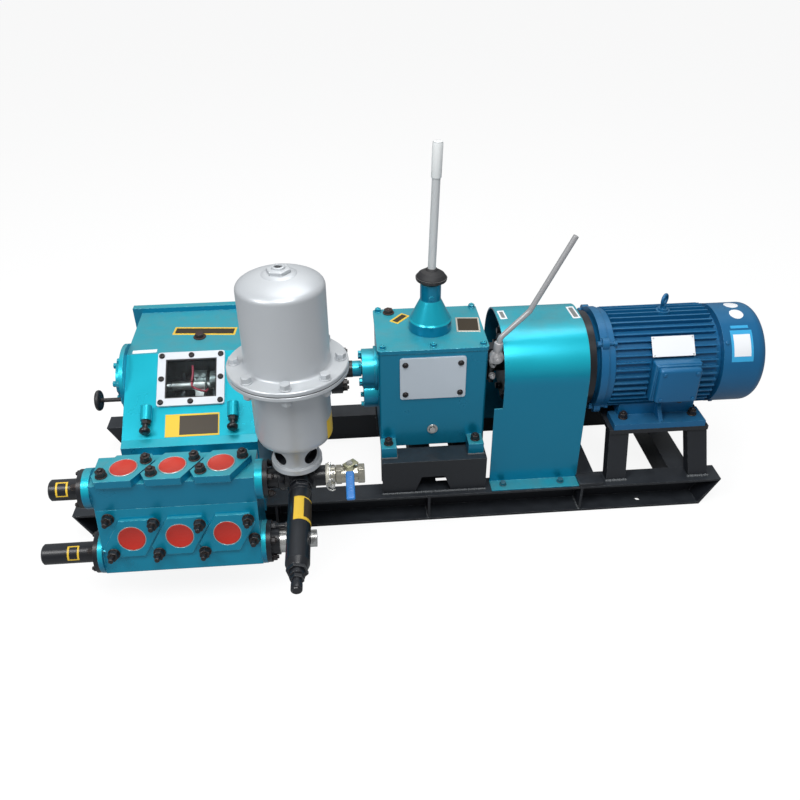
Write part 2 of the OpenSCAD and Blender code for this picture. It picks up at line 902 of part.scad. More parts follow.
// Plugged nipple that closes the right end of the suction passage
module suction_plug() {
    color(steel)
        translate([suction_flange_x + pipe_flange_t + 18 - eps, suction_y, suction_z]) {
            cylinder_x(54, 15);
            translate([15 - eps, 0, 0]) cylinder_x(34, 50);
            translate([64, 0, 0]) cylinder_x(38, 16);
        }
}

module cross_fitting() {
    left = flange_x + pipe_flange_t;
    color(frame_black)
        difference() {
            union() {
                translate([left, pipe_y, pipe_z]) cylinder_x(pipe_d, union_x - left);
                translate([chamber_x, pipe_y, pipe_z - cross_d / 2])
                    cylinder(d = cross_d, h = foot_z - pipe_z + cross_d / 2);
                translate([relief_x, pipe_y + cross_d / 2 - 8, pipe_z])
                    cylinder_y(cross_d - 6, cross_d + 4);
            }
            translate([left - 1, pipe_y, pipe_z]) cylinder_x(stub_bore_d - 6, union_x - left + 2);
        }
}

// Turned outline of the relief valve, radius against distance from the cross fitting
module relief_outline() {
    start = cross_d / 2 + 12;
    polygon([
        [0, start], [18, start], [18, start + 10], [relief_d / 2 - 3, start + 10],
        [relief_d / 2, start + 14], [relief_d / 2, 259], [relief_d / 2 - 4, 271], [15, 280],
        [15, 291], [9.5, 293], [9.5, relief_l - 3], [7.5, relief_l], [0, relief_l]
    ]);
}

module relief_valve() {
    color(frame_black)
        translate([relief_x, pipe_y, pipe_z]) {
            rotate([90, 0, 0]) rotate_extrude() relief_outline();
            translate([0, -190, 0]) cylinder_x(24, relief_d / 2 + 12);
        }
}

// Cast foot of the air chamber: ring flange, neck and four arched openings
module air_chamber_foot() {
    color(silver_grey)
        translate([chamber_x, pipe_y, foot_z])
            difference() {
                union() {
                    cylinder(d = chamber_foot_d, h = foot_t);
                    cylinder(d1 = chamber_foot_d - 14, d2 = chamber_foot_d - 2, h = 62);
                }
                for (a = [45:90:315])
                    rotate([0, 0, a])
                        translate([24, 0, foot_t + 22])
                            rotate([0, 90, 0]) cylinder(d = 36, h = chamber_foot_d);
            }
}

module air_chamber_lower() {
    bottom = foot_z + 58;
    joint = chamber_joint_z - chamber_flange_t;
    r = chamber_lower_d / 2;
    color(silver_grey)
        translate([chamber_x, pipe_y, 0])
            rotate_extrude() {
                polygon([
                    [0, bottom + 4], [r * 0.55, bottom + 4], [r * 0.85, bottom + 12],
                    [r, bottom + 34], [r, joint + eps], [0, joint + eps]
                ]);
                translate([0, joint]) square([chamber_flange_d / 2, chamber_flange_t]);
            }
}

module air_chamber_upper() {
    r = chamber_upper_d / 2;
    color(silver_grey)
        translate([chamber_x, pipe_y, 0]) {
            rotate_extrude() {
                translate([0, chamber_joint_z])
                    square([chamber_flange_d / 2, chamber_flange_t]);
                translate([0, chamber_joint_z])
                    square([r, chamber_shoulder_z - chamber_joint_z]);
                polygon([
                    [0, chamber_shoulder_z - eps], [r, chamber_shoulder_z - eps],
                    [r - 1, chamber_shoulder_z + 7], [r - 5, chamber_shoulder_z + 14],
                    [r - 13, chamber_shoulder_z + 20], [r - 28, chamber_shoulder_z + 25],
                    [r - 48, chamber_shoulder_z + chamber_dome - 1],
                    [24, chamber_shoulder_z + chamber_dome], [0, chamber_shoulder_z + chamber_dome]
                ]);
            }
            translate([0, 0, chamber_shoulder_z + chamber_dome - eps]) {
                cylinder(d = 44, h = 8, $fn = 6);
                cylinder(d = 22, h = 14);
            }
        }
}

module ball_valve() {
    color(steel)
        difference() {
            union() {
                translate([union_x, pipe_y, pipe_z]) cylinder_x(42, union_l);
                translate([valve_x - eps, pipe_y, pipe_z]) cylinder_x(ball_valve_d, ball_valve_l);
                translate([valve_x + ball_valve_l / 2, pipe_y, pipe_z])
                    cylinder(d = valve_stem_d + 9, h = ball_valve_d / 2 + 7);
            }
            translate([union_x - 1, pipe_y, pipe_z])
                cylinder_x(ball_valve_bore_d, union_l + ball_valve_l + 2);
            translate([valve_x + ball_valve_l / 2, pipe_y, pipe_z + 12])
                cylinder(d = valve_stem_d + 2 * run_clear, h = ball_valve_d);
        }
}

module ball_valve_handle() {
    stem_bottom = pipe_z + 12.5;
    color(handle_blue)
        translate([valve_x + ball_valve_l / 2, pipe_y, 0]) {
            translate([0, 0, stem_bottom])
                cylinder(d = valve_stem_d, h = valve_handle_z - stem_bottom + 8);
            translate([-9, -valve_handle_l, valve_handle_z])
                cube([18, valve_handle_l + 12, 4]);
        }
}

module coupling_half() {
    color(teal)
        translate([coupling_right - 24, shaft_y, shaft_z]) {
            cylinder_x(coupling_hub_d, 22);
            cylinder_x(coupling_shaft_d, 24 + shaft_seat - 1);
        }
}

module coupling_discs() {
    color(frame_black) {
        translate([coupling_right - 52 - 60, shaft_y, shaft_z]) {
            cylinder_x(coupling_disc_d, 24);
            translate([24, 0, 0]) cylinder_x(coupling_disc_d - 30, 10);
            translate([34, 0, 0]) cylinder_x(coupling_disc_d, 28);
            translate([62 - eps, 0, 0]) cylinder_x(coupling_hub_d + 2, 26 + eps);
        }
        translate([coupling_left - shaft_seat + 1, shaft_y, shaft_z])
            cylinder_x(coupling_shaft_d, coupling_right - 112 - coupling_left + shaft_seat - 1 + eps);
    }
}

module gearbox_housing() {
    color(teal)
        translate([gearbox_x, shaft_y - gearbox_w / 2, gearbox_bottom_z])
            difference() {
                union() {
                    linear_extrude(gearbox_top_z - 10 - gearbox_bottom_z)
                        rounded_square([gearbox_l, gearbox_w], 6);
                    for (x = [0, gearbox_l - foot_pad_l - 6], y = [-foot_pad_w, gearbox_w])
                        translate([x, y + (y < 0 ? 0 : -eps), support_top_z - gearbox_bottom_z])
                            cube([foot_pad_l, foot_pad_w + eps, foot_pad_h]);
                }
                translate([gearbox_l / 2, -1, 47]) rotate([-90, 0, 0]) cylinder(d = 18, h = 13);
            }
}

module gearbox_cover() {
    color(teal)
        translate([gearbox_x - 2, shaft_y - gearbox_w / 2 - 2, gearbox_top_z - 10])
            linear_extrude(10) rounded_square([gearbox_l + 4, gearbox_w + 4], 8);
}

module inspection_plate() {
    color(pale_plate)
        translate([gearbox_mid_x - 1 - inspection_w / 2, gearbox_front_y, inspection_z])
            rotate([90, 0, 0])
                linear_extrude(5) rounded_square([inspection_w, inspection_h], 6);
}

module output_housing() {
    color(teal)
        translate([gearbox_x, shaft_y, shaft_z])
            difference() {
                union() {
                    translate([-output_housing_l, 0, 0])
                        cylinder_x(output_housing_d, output_housing_l);
                    translate([-7, 0, 0]) cylinder_x(output_housing_d + 12, 7);
                    translate([-output_housing_l + 2, 0, -layshaft_drop])
                        cylinder_x(layshaft_cover_d, output_housing_l - 2);
                }
                translate([-output_housing_l - 1, 0, 0])
                    cylinder_x(coupling_shaft_d + 2 * run_clear, shaft_seat + 1);
            }
}

module shift_housing() {
    base = gearbox_top_z;
    color(teal)
        translate([shift_x, shaft_y, 0])
            difference() {
                rotate_extrude()
                    polygon([
                        [0, base], [shift_base_d / 2, base], [shift_base_d / 2, base + 26],
                        [shift_base_d / 2 - 3, base + 30], [shift_neck_d / 2 + 2, shift_shoulder_z - 3],
                        [shift_neck_d / 2, shift_shoulder_z + 1],
                        [shift_neck_d / 2, shift_neck_top_z], [0, shift_neck_top_z]
                    ]);
                translate([0, 0, shift_pivot_z - 26]) cylinder(d = shift_socket_d, h = 80);
                translate([0, shift_neck_d, shift_pivot_z])
                    cylinder_y(shift_pin_d + 2 * run_clear, 2 * shift_neck_d);
            }
}

// Places its children at the pivot of the gear shift lever, along the leaning lever
module on_shift_axis() {
    translate([shift_x, shaft_y, shift_pivot_z]) rotate([0, shift_lean, 0]) children();
}

module shift_lever() {
    length = shift_tip_z - shift_pivot_z;
    color(steel)
        on_shift_axis() {
            translate([0, shift_neck_d / 2, 0]) cylinder_y(shift_pin_d, shift_neck_d);
            translate([0, 0, -18]) cylinder(d = shift_rod_d, h = length + 17);
            translate([0, 0, length - shift_sleeve_l])
                cylinder(d = shift_rod_d + 3, h = shift_sleeve_l);
        }
}

// Mushroom-shaped rubber boot that rides on the lever over the neck
module shift_boot() {
    low = boot_bottom_z - shift_pivot_z;
    high = boot_top_z - shift_pivot_z;
    inner = shift_rod_d / 2;
    color(rubber_black)
        on_shift_axis()
            rotate_extrude()
                polygon([
                    [inner, low], [boot_r - 5, low], [boot_r - 1, low + 2], [boot_r, low + 6],
                    [boot_r - 1.5, low + 12], [boot_r - 6, low + 18], [boot_r - 12, low + 22],
                    [inner + 9, high - 2], [inner + 5, high], [inner, high]
                ]);
}

module clutch_drum() {
    color(frame_black)
        translate([gearbox_right, shaft_y, shaft_z]) {
            cylinder_x(90, 18);
            translate([18 - eps, 0, 0]) cylinder_x(44, 44);
            translate([clutch_drum_gap, 0, 0]) cylinder_x(clutch_drum_d, clutch_drum_l);
            translate([clutch_drum_gap + clutch_drum_l - eps, 0, 0])
                cylinder_x(60, motor_shaft_x - gearbox_right - clutch_drum_gap - clutch_drum_l);
        }
}

module clutch_bracket() {
    color(frame_black)
        difference() {
            translate([gearbox_right, clutch_bracket_y, clutch_pivot_z - 16])
                cube([32, clutch_bracket_w, 32]);
            translate([clutch_x, clutch_bracket_y + clutch_bracket_w + 2, clutch_pivot_z])
                cylinder_y(clutch_shaft_d + 2 * run_clear, clutch_bracket_w + 10);
        }
}

module clutch_lever() {
    route = [[0, 0], [6, 50], [70, 116], [158, 295]];
    clamp_l = 34;
    color(steel) {
        translate([clutch_x, clutch_arm_y + 33, clutch_pivot_z]) cylinder_y(clutch_shaft_d, 52);
        translate([clutch_x, clutch_arm_y + 6, clutch_pivot_z]) cylinder_y(34, 14);
        translate([clutch_x, clutch_arm_y, clutch_pivot_z])
            rotate([90, 0, 0]) {
                bent_rod(route, 22, clutch_rod_d);
                rotate([0, 0, atan2(route[1].y, route[1].x)]) cylinder_x(clutch_rod_d + 4, clamp_l);
            }
    }
}

// Outline of the guard grown by the given distance: two straight sides, two bends and a flat top
module guard_outline(grow) {
    bend_y = guard_r - guard_bend_r;
    for (side = [-1, 1])
        translate([motor_y + side * bend_y, guard_top_z - guard_bend_r])
            circle(guard_bend_r + grow);
    translate([motor_y - guard_r + guard_bend_r, guard_base_z])
        square([2 * (guard_r - guard_bend_r), guard_top_z + grow - guard_base_z]);
    translate([motor_y - guard_r - grow, guard_base_z])
        square([2 * (guard_r + grow), guard_top_z - guard_bend_r - guard_base_z]);
}

module drive_guard() {
    color(teal)
        difference() {
            union() {
                translate([guard_x, 0, 0])
                    rotate([90, 0, 90]) linear_extrude(guard_l) guard_outline(guard_t);
                for (side = [-1, 1])
                    translate([
                        guard_x,
                        motor_y + side * (guard_r + guard_lip / 2),
                        guard_base_z
                    ])
                        translate([0, -guard_lip / 2, 0]) cube([guard_l, guard_lip, guard_t]);
            }
            translate([guard_x - 1, 0, -1])
                rotate([90, 0, 90]) linear_extrude(guard_l + 2) guard_outline(0);
            translate([guard_x - 1, motor_y - 2 * guard_r, guard_step_z])
                cube([guard_notch + 1, 4 * guard_r, 2 * guard_r]);
        }
}

// One foot plate of the motor on side -1 or +1, with its two bolt holes
module motor_foot(side) {
    outer = foot_span_y / 2 + 32;
    difference() {
        translate([
            foot_plate_x,
            motor_y + (side < 0 ? -outer : outer - foot_plate_w),
            motor_foot_z
        ])
            cube([foot_plate_l, foot_plate_w, foot_plate_t]);
        for (x = [-1, 1] * foot_span_x / 2)
            translate([foot_mid_x + x, motor_y + side * foot_span_y / 2, motor_foot_z - 1])
                cylinder(d = foot_hole_d, h = foot_plate_t + 2);
    }
    translate([
        foot_plate_x + 20,
        motor_y + (side < 0 ? -outer + 44 : outer - 44 - 40),
        motor_foot_z + foot_plate_t - eps
    ])
        cube([foot_plate_l - 40, 40, 34]);
    translate([foot_mid_x - 5, motor_y, motor_foot_z + foot_plate_t - eps])
        rotate([90, 0, 90])
            linear_extrude(10)
                polygon([
                    [side * 90, 0], [side * (outer - 6), 0],
                    [side * (outer - 32), 30], [side * 90, 44]
                ]);
}

// One straight cooling fin between two places along the motor
module fin(from, to) {
    translate([from, -fin_t / 2, motor_core_d / 2 - 4]) cube([to - from, fin_t, fin_depth + 4]);
}

module motor_frame() {
    box_left = terminal_x - motor_x - terminal_w / 2 - 3;
    color(motor_blue) {
        translate([motor_x, motor_y, shaft_z]) {
            cylinder_x(motor_core_d, motor_frame_l);
            cylinder_x(motor_core_d - 20, motor_frame_l + cowl_gap);
            for (i = [0:fin_count - 1]) {
                a = fin_arc / 2 - i * fin_arc / (fin_count - 1);
                rotate([a, 0, 0])
                    if (abs(a - 88) < 26) {
                        fin(0, box_left);
                        fin(box_left + terminal_w + 6, motor_frame_l);
                    } else {
                        fin(0, motor_frame_l);
                    }
            }
            translate([
                terminal_x - motor_x - terminal_w / 2 + 4,
                -terminal_seat_r,
                terminal_z - shaft_z - terminal_h / 2 + 4
            ])
                cube([terminal_w - 8, 40, terminal_h - 8]);
            translate([eye_x - motor_x, 0, motor_core_d / 2 - 6]) cylinder(d = 34, h = fin_depth + 6);
        }
        motor_foot(-1);
        motor_foot(1);
    }
}

// End shield of the motor: stepped rim with four ears, cone, hub and shaft
module motor_end_shield() {
    rim_d = motor_fin_d + 4;
    color(motor_blue)
        translate([motor_x, motor_y, shaft_z]) {
            translate([-18, 0, 0]) cylinder_x(rim_d - 10, 18);
            translate([-36, 0, 0]) cylinder_x(rim_d, 18 + eps);
            for (a = [45:90:315])
                rotate([a, 0, 0]) translate([-34, 0, rim_d / 2 - 4]) cylinder_x(30, 16);
            translate([-62, 0, 0])
                rotate([0, 90, 0])
                    cylinder(d1 = motor_core_d - 76, d2 = motor_core_d - 6, h = 26 + eps);
            translate([-78, 0, 0]) cylinder_x(100, 16 + eps);
            translate([motor_shaft_x - motor_x, 0, 0]) cylinder_x(38, motor_x - motor_shaft_x - 77);
        }
}

module fan_cowl() {
    edge = 26;
    color(motor_blue)
        translate([motor_x + motor_frame_l + cowl_gap, motor_y, shaft_z])
            rotate([0, 90, 0])
                rotate_extrude() {
                    square([cowl_d / 2 - edge, cowl_l]);
                    square([cowl_d / 2, cowl_l - edge]);
                    translate([cowl_d / 2 - edge, cowl_l - edge]) circle(edge);
                }
}

// Terminal box: base, body and a lid with sloping edges
module terminal_box() {
    depth = terminal_d - 12;
    color(motor_blue)
        translate([terminal_x, motor_y - terminal_seat_r, terminal_z])
            rotate([90, 0, 0]) {
                centred_block([terminal_w, terminal_h, 8]);
                translate([0, 0, 8 - eps])
                    centred_block([terminal_w - 10, terminal_h - 10, depth - 8 + eps]);
                translate([0, 0, depth]) centred_block([terminal_w - 2, terminal_h - 2, 6]);
                translate([0, 0, depth + 6 - eps])
                    intersection() {
                        translate([0, (terminal_h - 2) / 2, 0])
                            rotate([90, 0, 0])
                                linear_extrude(terminal_h - 2) lid_outline(terminal_w - 2);
                        translate([-(terminal_w - 2) / 2, 0, 0])
                            rotate([90, 0, 90])
                                linear_extrude(terminal_w - 2) lid_outline(terminal_h - 2);
                    }
            }
}

// Low outline with sloping ends, 6 high
module lid_outline(w) {
    polygon([[-w / 2, 0], [w / 2, 0], [w / 2 - 8, 6], [-w / 2 + 8, 6]]);
}

module motor_eye_bolt() {
    color(motor_blue)
        translate([eye_x, motor_y, shaft_z + motor_fin_d / 2]) {
            cylinder(d = 24, h = 5);
            cylinder(d = 15, h = 15);
            translate([0, 0, 27])
                rotate([0, 90, -45])
                    rotate_extrude() translate([12.5, 0]) circle(d = 8);
        }
}

skid_rail_front();
skid_rail_rear();
skid_cross_members();
gearbox_support();
motor_stand();
crankcase();
crankcase_rear_cover();
bearing_cover_left();
bearing_cover_right();
window_frame();
window_glass();
crankshaft();
swing_bolts();
handwheel();
fluid_block_upper();
fluid_block_lower();
plunger_housings();
discharge_covers();
discharge_caps();
suction_covers();
suction_caps();
discharge_stub();
suction_stub();
discharge_flange();
suction_end_flange();
suction_plug();
cross_fitting();
relief_valve();
air_chamber_foot();
air_chamber_lower();
air_chamber_upper();
ball_valve();
ball_valve_handle();
coupling_half();
coupling_discs();
gearbox_housing();
gearbox_cover();
inspection_plate();
output_housing();
shift_housing();
shift_lever();
shift_boot();
clutch_drum();
clutch_bracket();
clutch_lever();
drive_guard();
motor_frame();
motor_end_shield();
fan_cowl();
terminal_box();
motor_eye_bolt();
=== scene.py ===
"""Looks of a skid-mounted triplex plunger pump set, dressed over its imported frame.

Every sub-assembly is a class that holds its sizes in millimetres and has methods that
build its small parts and give them their finishes. All meshes end up in metres, in the
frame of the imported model.
"""

from __future__ import annotations

import json
import logging
import math
from dataclasses import dataclass
from enum import Enum
from typing import Callable, Iterator, Sequence

import bmesh
import bpy
from mathutils import Matrix, Vector

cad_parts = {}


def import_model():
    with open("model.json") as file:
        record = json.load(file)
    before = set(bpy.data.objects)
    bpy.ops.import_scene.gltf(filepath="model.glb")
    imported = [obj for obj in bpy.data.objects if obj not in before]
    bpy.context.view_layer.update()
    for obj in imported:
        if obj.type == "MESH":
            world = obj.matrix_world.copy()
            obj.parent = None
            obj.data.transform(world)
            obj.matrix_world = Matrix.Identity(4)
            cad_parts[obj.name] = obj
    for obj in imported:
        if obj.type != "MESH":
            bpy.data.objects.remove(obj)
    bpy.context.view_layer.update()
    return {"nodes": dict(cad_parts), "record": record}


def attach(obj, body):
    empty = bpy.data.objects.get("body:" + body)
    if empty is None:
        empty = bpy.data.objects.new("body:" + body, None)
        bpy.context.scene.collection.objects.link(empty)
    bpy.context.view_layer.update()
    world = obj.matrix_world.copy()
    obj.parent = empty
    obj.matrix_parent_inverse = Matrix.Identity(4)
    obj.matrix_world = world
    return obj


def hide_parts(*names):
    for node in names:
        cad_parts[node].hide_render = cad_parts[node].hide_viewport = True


LOG = logging.getLogger("pump_set")
MM = 0.001
Pair = tuple[float, float]
Triple = tuple[float, float, float]
Socket = bpy.types.NodeSocket


class Body(Enum):
    """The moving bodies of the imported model."""

    SET = "pump_set"
    SHIFT = "shift_lever"
    CLUTCH = "clutch_lever"
    VALVE = "ball_valve_handle"
    WHEEL = "handwheel"
    COUPLING = "coupling"


class Slot(Enum):
    """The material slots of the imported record."""

    FRAME = "frame_paint"
    TEAL = "teal_paint"
    WINDOW = "window_alloy"
    PANE = "window_pane"
    BRIGHT = "bright_steel"
    BLACK = "black_parts"
    KNOB = "black_knob"
    CAP = "cap_plastic"
    SILVER = "silver_paint"
    GRIP = "blue_grip"
    PLATE = "plate_alloy"
    LEVER = "lever_steel"
    BOOT = "boot_rubber"
    MOTOR = "motor_paint"


@dataclass
class Graph:
    """A node tree whose nodes are wired as they are added."""

    tree: bpy.types.NodeTree

    def feed(self, node: bpy.types.Node, inputs: dict[str | int, object]) -> None:
        """Links or sets inputs of a node.

        Args:
            node: The node.
            inputs: For each input, the socket that feeds it or its value.
        """
        for key, value in inputs.items():
            if isinstance(value, Socket):
                self.tree.links.new(value, node.inputs[key])
            else:
                node.inputs[key].default_value = value

    def add(self, kind: str, inputs: dict | None = None, **settings: object) -> bpy.types.Node:
        """Adds a node.

        Args:
            kind: Type of the node, without the prefix ShaderNode.
            inputs: What feeds its inputs.
            **settings: Attributes of the node, which are set first.

        Returns:
            The node.
        """
        made = self.tree.nodes.new("ShaderNode" + kind)
        for key, value in settings.items():
            setattr(made, key, value)
        self.feed(made, inputs or {})
        return made

    def calc(self, operation: str, *terms: object, clamp: bool = False) -> Socket:
        """Adds a calculation with sockets or numbers.

        Args:
            operation: The operation.
            *terms: Its terms in order.
            clamp: Keeps the result between 0 and 1.

        Returns:
            The result.
        """
        return self.add("Math", dict(enumerate(terms)), operation=operation, use_clamp=clamp).outputs[0]

    def span(
        self, value: Socket, low: float, high: float, least: float = 0.0, ease: str = "LINEAR"
    ) -> Socket:
        """Maps a value from low and high to the least result and 1.

        Args:
            value: The value.
            low: Where the result is the least.
            high: Where the result is 1.
            least: The least result.
            ease: Kind of the passage between the two.

        Returns:
            The result.
        """
        inputs = {"Value": value, "From Min": low, "From Max": high, "To Min": least}
        return self.add("MapRange", inputs, interpolation_type=ease).outputs[0]

    def noise(self, scale: Socket, detail: float) -> Socket:
        """Adds a noise in the object's own frame.

        Args:
            scale: Scale of the noise.
            detail: Number of octaves.

        Returns:
            The noise from 0 to 1.
        """
        place = self.add("TexCoord").outputs["Object"]
        return self.add("TexNoise", {"Vector": place, "Scale": scale, "Detail": detail}).outputs["Fac"]

    def upness(self) -> Socket:
        """Upward part of the surface normal."""
        normal = self.add("NewGeometry").outputs["Normal"]
        return self.add("SeparateXYZ", {0: normal}).outputs["Z"]

    def mix(self, mask: Socket, under: Socket, over: Triple) -> Socket:
        """Lays a plain colour over another by a mask.

        Args:
            mask: Where the plain colour shows.
            under: The other colour.
            over: The plain colour.

        Returns:
            The mixed colour.
        """
        inputs = {"Factor": mask, "A": under, "B": (*over, 1.0)}
        return self.add("Mix", inputs, data_type="RGBA").outputs["Result"]

    def group(self, tree: bpy.types.NodeTree, inputs: dict) -> bpy.types.NodeOutputs:
        """Adds a shared group.

        Args:
            tree: The group.
            inputs: What feeds its inputs.

        Returns:
            Its outputs.
        """
        return self.add("Group", inputs, node_tree=tree).outputs


def new_material(name: str) -> tuple[bpy.types.Material, Graph, bpy.types.Node]:
    """Starts a material.

    Args:
        name: Name of the material.

    Returns:
        The material, its graph and its main shader.
    """
    made = bpy.data.materials.new(name)
    made.use_nodes = True
    return made, Graph(made.node_tree), made.node_tree.nodes["Principled BSDF"]


class SurfaceGroups:
    """Shader node groups that several finishes share, each built once."""

    OUTPUT_KINDS = {"Colour": "NodeSocketColor", "Normal": "NodeSocketVector"}

    def __init__(self) -> None:
        """Starts with no group built."""
        self.built: dict[str, bpy.types.NodeTree] = {}

    def shared(self, name: str, inputs: dict[str, object], wire: Callable) -> bpy.types.NodeTree:
        """Gives a group, which is built on first use.

        Args:
            name: Name of the group.
            inputs: Default value of each input.
            wire: Adds the nodes from a graph and the inputs, and gives the outputs by name.

        Returns:
            The group.
        """
        if name in self.built:
            return self.built[name]
        tree = bpy.data.node_groups.new(name, "ShaderNodeTree")
        for label, value in inputs.items():
            kind = "NodeSocketColor" if isinstance(value, tuple) else "NodeSocketFloat"
            tree.interface.new_socket(label, in_out="INPUT", socket_type=kind).default_value = value
        results = wire(Graph(tree), tree.nodes.new("NodeGroupInput").outputs)
        for label in results:
            kind = self.OUTPUT_KINDS.get(label, "NodeSocketFloat")
            tree.interface.new_socket(label, in_out="OUTPUT", socket_type=kind)
        end = tree.nodes.new("NodeGroupOutput")
        for label, socket in results.items():
            tree.links.new(socket, end.inputs[label])
        self.built[name] = tree
        return tree

    def grain(self) -> bpy.types.NodeTree:
        """Uneven tone and gloss and a fine height, as a sprayed or cast surface has."""

        def wire(graph: Graph, given: bpy.types.NodeOutputs) -> dict[str, Socket]:
            swing = graph.calc("SUBTRACT", graph.noise(given["Patch Scale"], 4.0), 0.5)
            shade = graph.calc("MULTIPLY_ADD", swing, given["Tone"], 1.0)
            tint = graph.add("VectorMath", {0: given["Colour"], "Scale": shade}, operation="SCALE")
            gloss = graph.calc("MULTIPLY_ADD", swing, given["Gloss Change"], given["Gloss"])
            height = graph.noise(given["Grain Scale"], 3.0)
            return {"Colour": tint.outputs[0], "Roughness": gloss, "Height": height}

        inputs = {
            "Colour": (0.5, 0.5, 0.5, 1.0), "Tone": 0.1, "Patch Scale": 9.0, "Grain Scale": 700.0,
            "Gloss": 0.4, "Gloss Change": 0.12,
        }
        return self.shared("surface_grain", inputs, wire)

    def edges(self) -> bpy.types.NodeTree:
        """Worn edges that also carry a painted edge highlight, and softly rounded normals."""

        def wire(graph: Graph, given: bpy.types.NodeOutputs) -> dict[str, Socket]:
            soft = graph.add("Bevel", {"Radius": given["Radius"]}, samples=4).outputs["Normal"]
            flat = graph.add("NewGeometry").outputs["Normal"]
            dot = graph.add("VectorMath", {0: soft, 1: flat}, operation="DOT_PRODUCT").outputs["Value"]
            broken = graph.span(graph.noise(given["Break Up"], 5.0), 0.42, 0.62)
            both = graph.calc("MULTIPLY", graph.span(dot, 0.985, 0.9), broken)
            return {"Mask": graph.calc("MULTIPLY", both, given["Amount"], clamp=True), "Normal": soft}

        return self.shared("scuffed_and_highlit_edges", {"Radius": 0.0015, "Amount": 0.5, "Break Up": 90.0}, wire)

    def dust(self) -> bpy.types.NodeTree:
        """Fine dust and a painted grey sheen on faces turned upwards."""

        def wire(graph: Graph, given: bpy.types.NodeOutputs) -> dict[str, Socket]:
            cloud = graph.span(graph.noise(given["Scale"], 6.0), 0.3, 0.7, 0.45)
            both = graph.calc("MULTIPLY", graph.span(graph.upness(), 0.88, 1.0), cloud)
            return {"Mask": graph.calc("MULTIPLY", both, given["Amount"])}

        return self.shared("settled_dust", {"Amount": 0.3, "Scale": 30.0}, wire)

    def sides(self) -> bpy.types.NodeTree:
        """Painted shade: faces that stand upright get a darker, bluer colour, standing in for the dark
        ground that they reflect.
        """

        def wire(graph: Graph, given: bpy.types.NodeOutputs) -> dict[str, Socket]:
            upright = graph.span(graph.upness(), 0.62, 0.05, ease="SMOOTHSTEP")
            return {"Mask": graph.calc("MULTIPLY", upright, given["Amount"])}

        return self.shared("painted_side_shade", {"Amount": 0.5}, wire)


@dataclass(frozen=True)
class Finish:
    """A painted, bare or moulded surface.

    Attributes:
        name: Name of the material.
        colour: Base colour, linear.
        bare_and_highlight_colour: Colour of scuffed edges, which also serves as a painted edge highlight.
        metallic: Metallic value of the surface.
        gloss: Mean roughness.
        gloss_change: Swing of the roughness from patch to patch.
        tone: Strength of the uneven tone.
        bump: Depth of the fine grain in metres.
        grain: Scale of the fine grain.
        wear_and_edge_highlight: How strongly edges show scuffs and painted highlight.
        radius: Radius of the rounded edges in metres.
        dust: Amount of the greyer colour on upward faces, partly dust and partly painted sheen.
        dust_colour: That greyer colour, partly dust and partly painted sheen.
        coat: Weight of a clear coat.
        specular: Specular level.
        side_shade: Amount of painted shade on upright faces.
        side_shade_colour: Colour of that painted shade, darker and bluer than the paint.
    """

    name: str
    colour: Triple
    bare_and_highlight_colour: Triple = (0.45, 0.45, 0.46)
    metallic: float = 0.0
    gloss: float = 0.4
    gloss_change: float = 0.12
    tone: float = 0.12
    bump: float = 0.00006
    grain: float = 700.0
    wear_and_edge_highlight: float = 0.4
    radius: float = 0.0014
    dust: float = 0.12
    dust_colour: Triple = (0.55, 0.53, 0.5)
    coat: float = 0.0
    specular: float = 0.5
    side_shade: float = 0.0
    side_shade_colour: Triple = (0.0, 0.15, 0.30)

    def build(self, groups: SurfaceGroups) -> bpy.types.Material:
        """Builds the material.

        Args:
            groups: The shared node groups.

        Returns:
            The finished material.
        """
        material, graph, shader = new_material(self.name)
        grain = graph.group(groups.grain(), {
            "Colour": (*self.colour, 1.0), "Tone": self.tone, "Grain Scale": self.grain,
            "Gloss": self.gloss, "Gloss Change": self.gloss_change,
        })
        edge = graph.group(groups.edges(), {"Radius": self.radius, "Amount": self.wear_and_edge_highlight})
        # Upward faces take a greyer colour, partly settled dust and partly painted sheen.
        dust = graph.group(groups.dust(), {"Amount": self.dust})["Mask"]
        base = grain["Colour"]
        # Painted shade: upright faces take a darker, bluer colour.
        if self.side_shade > 0:
            side = graph.group(groups.sides(), {"Amount": self.side_shade})["Mask"]
            base = graph.mix(side, base, self.side_shade_colour)
        # Edges take a lighter colour, partly from scuffs and partly a painted highlight.
        worn_and_highlit = graph.mix(edge["Mask"], base, self.bare_and_highlight_colour)
        bump = graph.add("Bump", {
            "Strength": 0.6, "Distance": self.bump, "Height": grain["Height"], "Normal": edge["Normal"],
        })
        graph.feed(shader, {
            "Metallic": self.metallic, "Coat Weight": self.coat, "Coat Roughness": 0.12,
            "Specular IOR Level": self.specular, "Base Color": graph.mix(dust, worn_and_highlit, self.dust_colour),
            "Roughness": graph.calc("MULTIPLY_ADD", dust, 0.5, grain["Roughness"]),
            "Normal": bump.outputs["Normal"],
        })
        return material


@dataclass(frozen=True)
class Glazing:
    """A clear pane."""

    name: str
    colour: Triple

    def build(self, groups: SurfaceGroups) -> bpy.types.Material:
        """Builds the pane's material.

        Args:
            groups: The shared node groups.

        Returns:
            The finished material.
        """
        material, graph, shader = new_material(self.name)
        grain = graph.group(groups.grain(), {
            "Colour": (*self.colour, 1.0), "Tone": 0.1, "Gloss": 0.03, "Gloss Change": 0.03,
        })
        graph.feed(shader, {
            "Transmission Weight": 1.0, "IOR": 1.25, "Base Color": grain["Colour"],
            "Roughness": grain["Roughness"],
        })
        return material


def film(name: str, colour: Triple, **changes: float) -> Finish:
    """Finish of a thin film, flat and hardly worn.

    Args:
        name: Name of the material.
        colour: Base colour, linear.
        **changes: Values that differ from those of a plain film.

    Returns:
        The finish.
    """
    return Finish(name, colour, **{"gloss": 0.4, "wear_and_edge_highlight": 0.05, "radius": 0.0002, "bump": 0.00001, **changes})


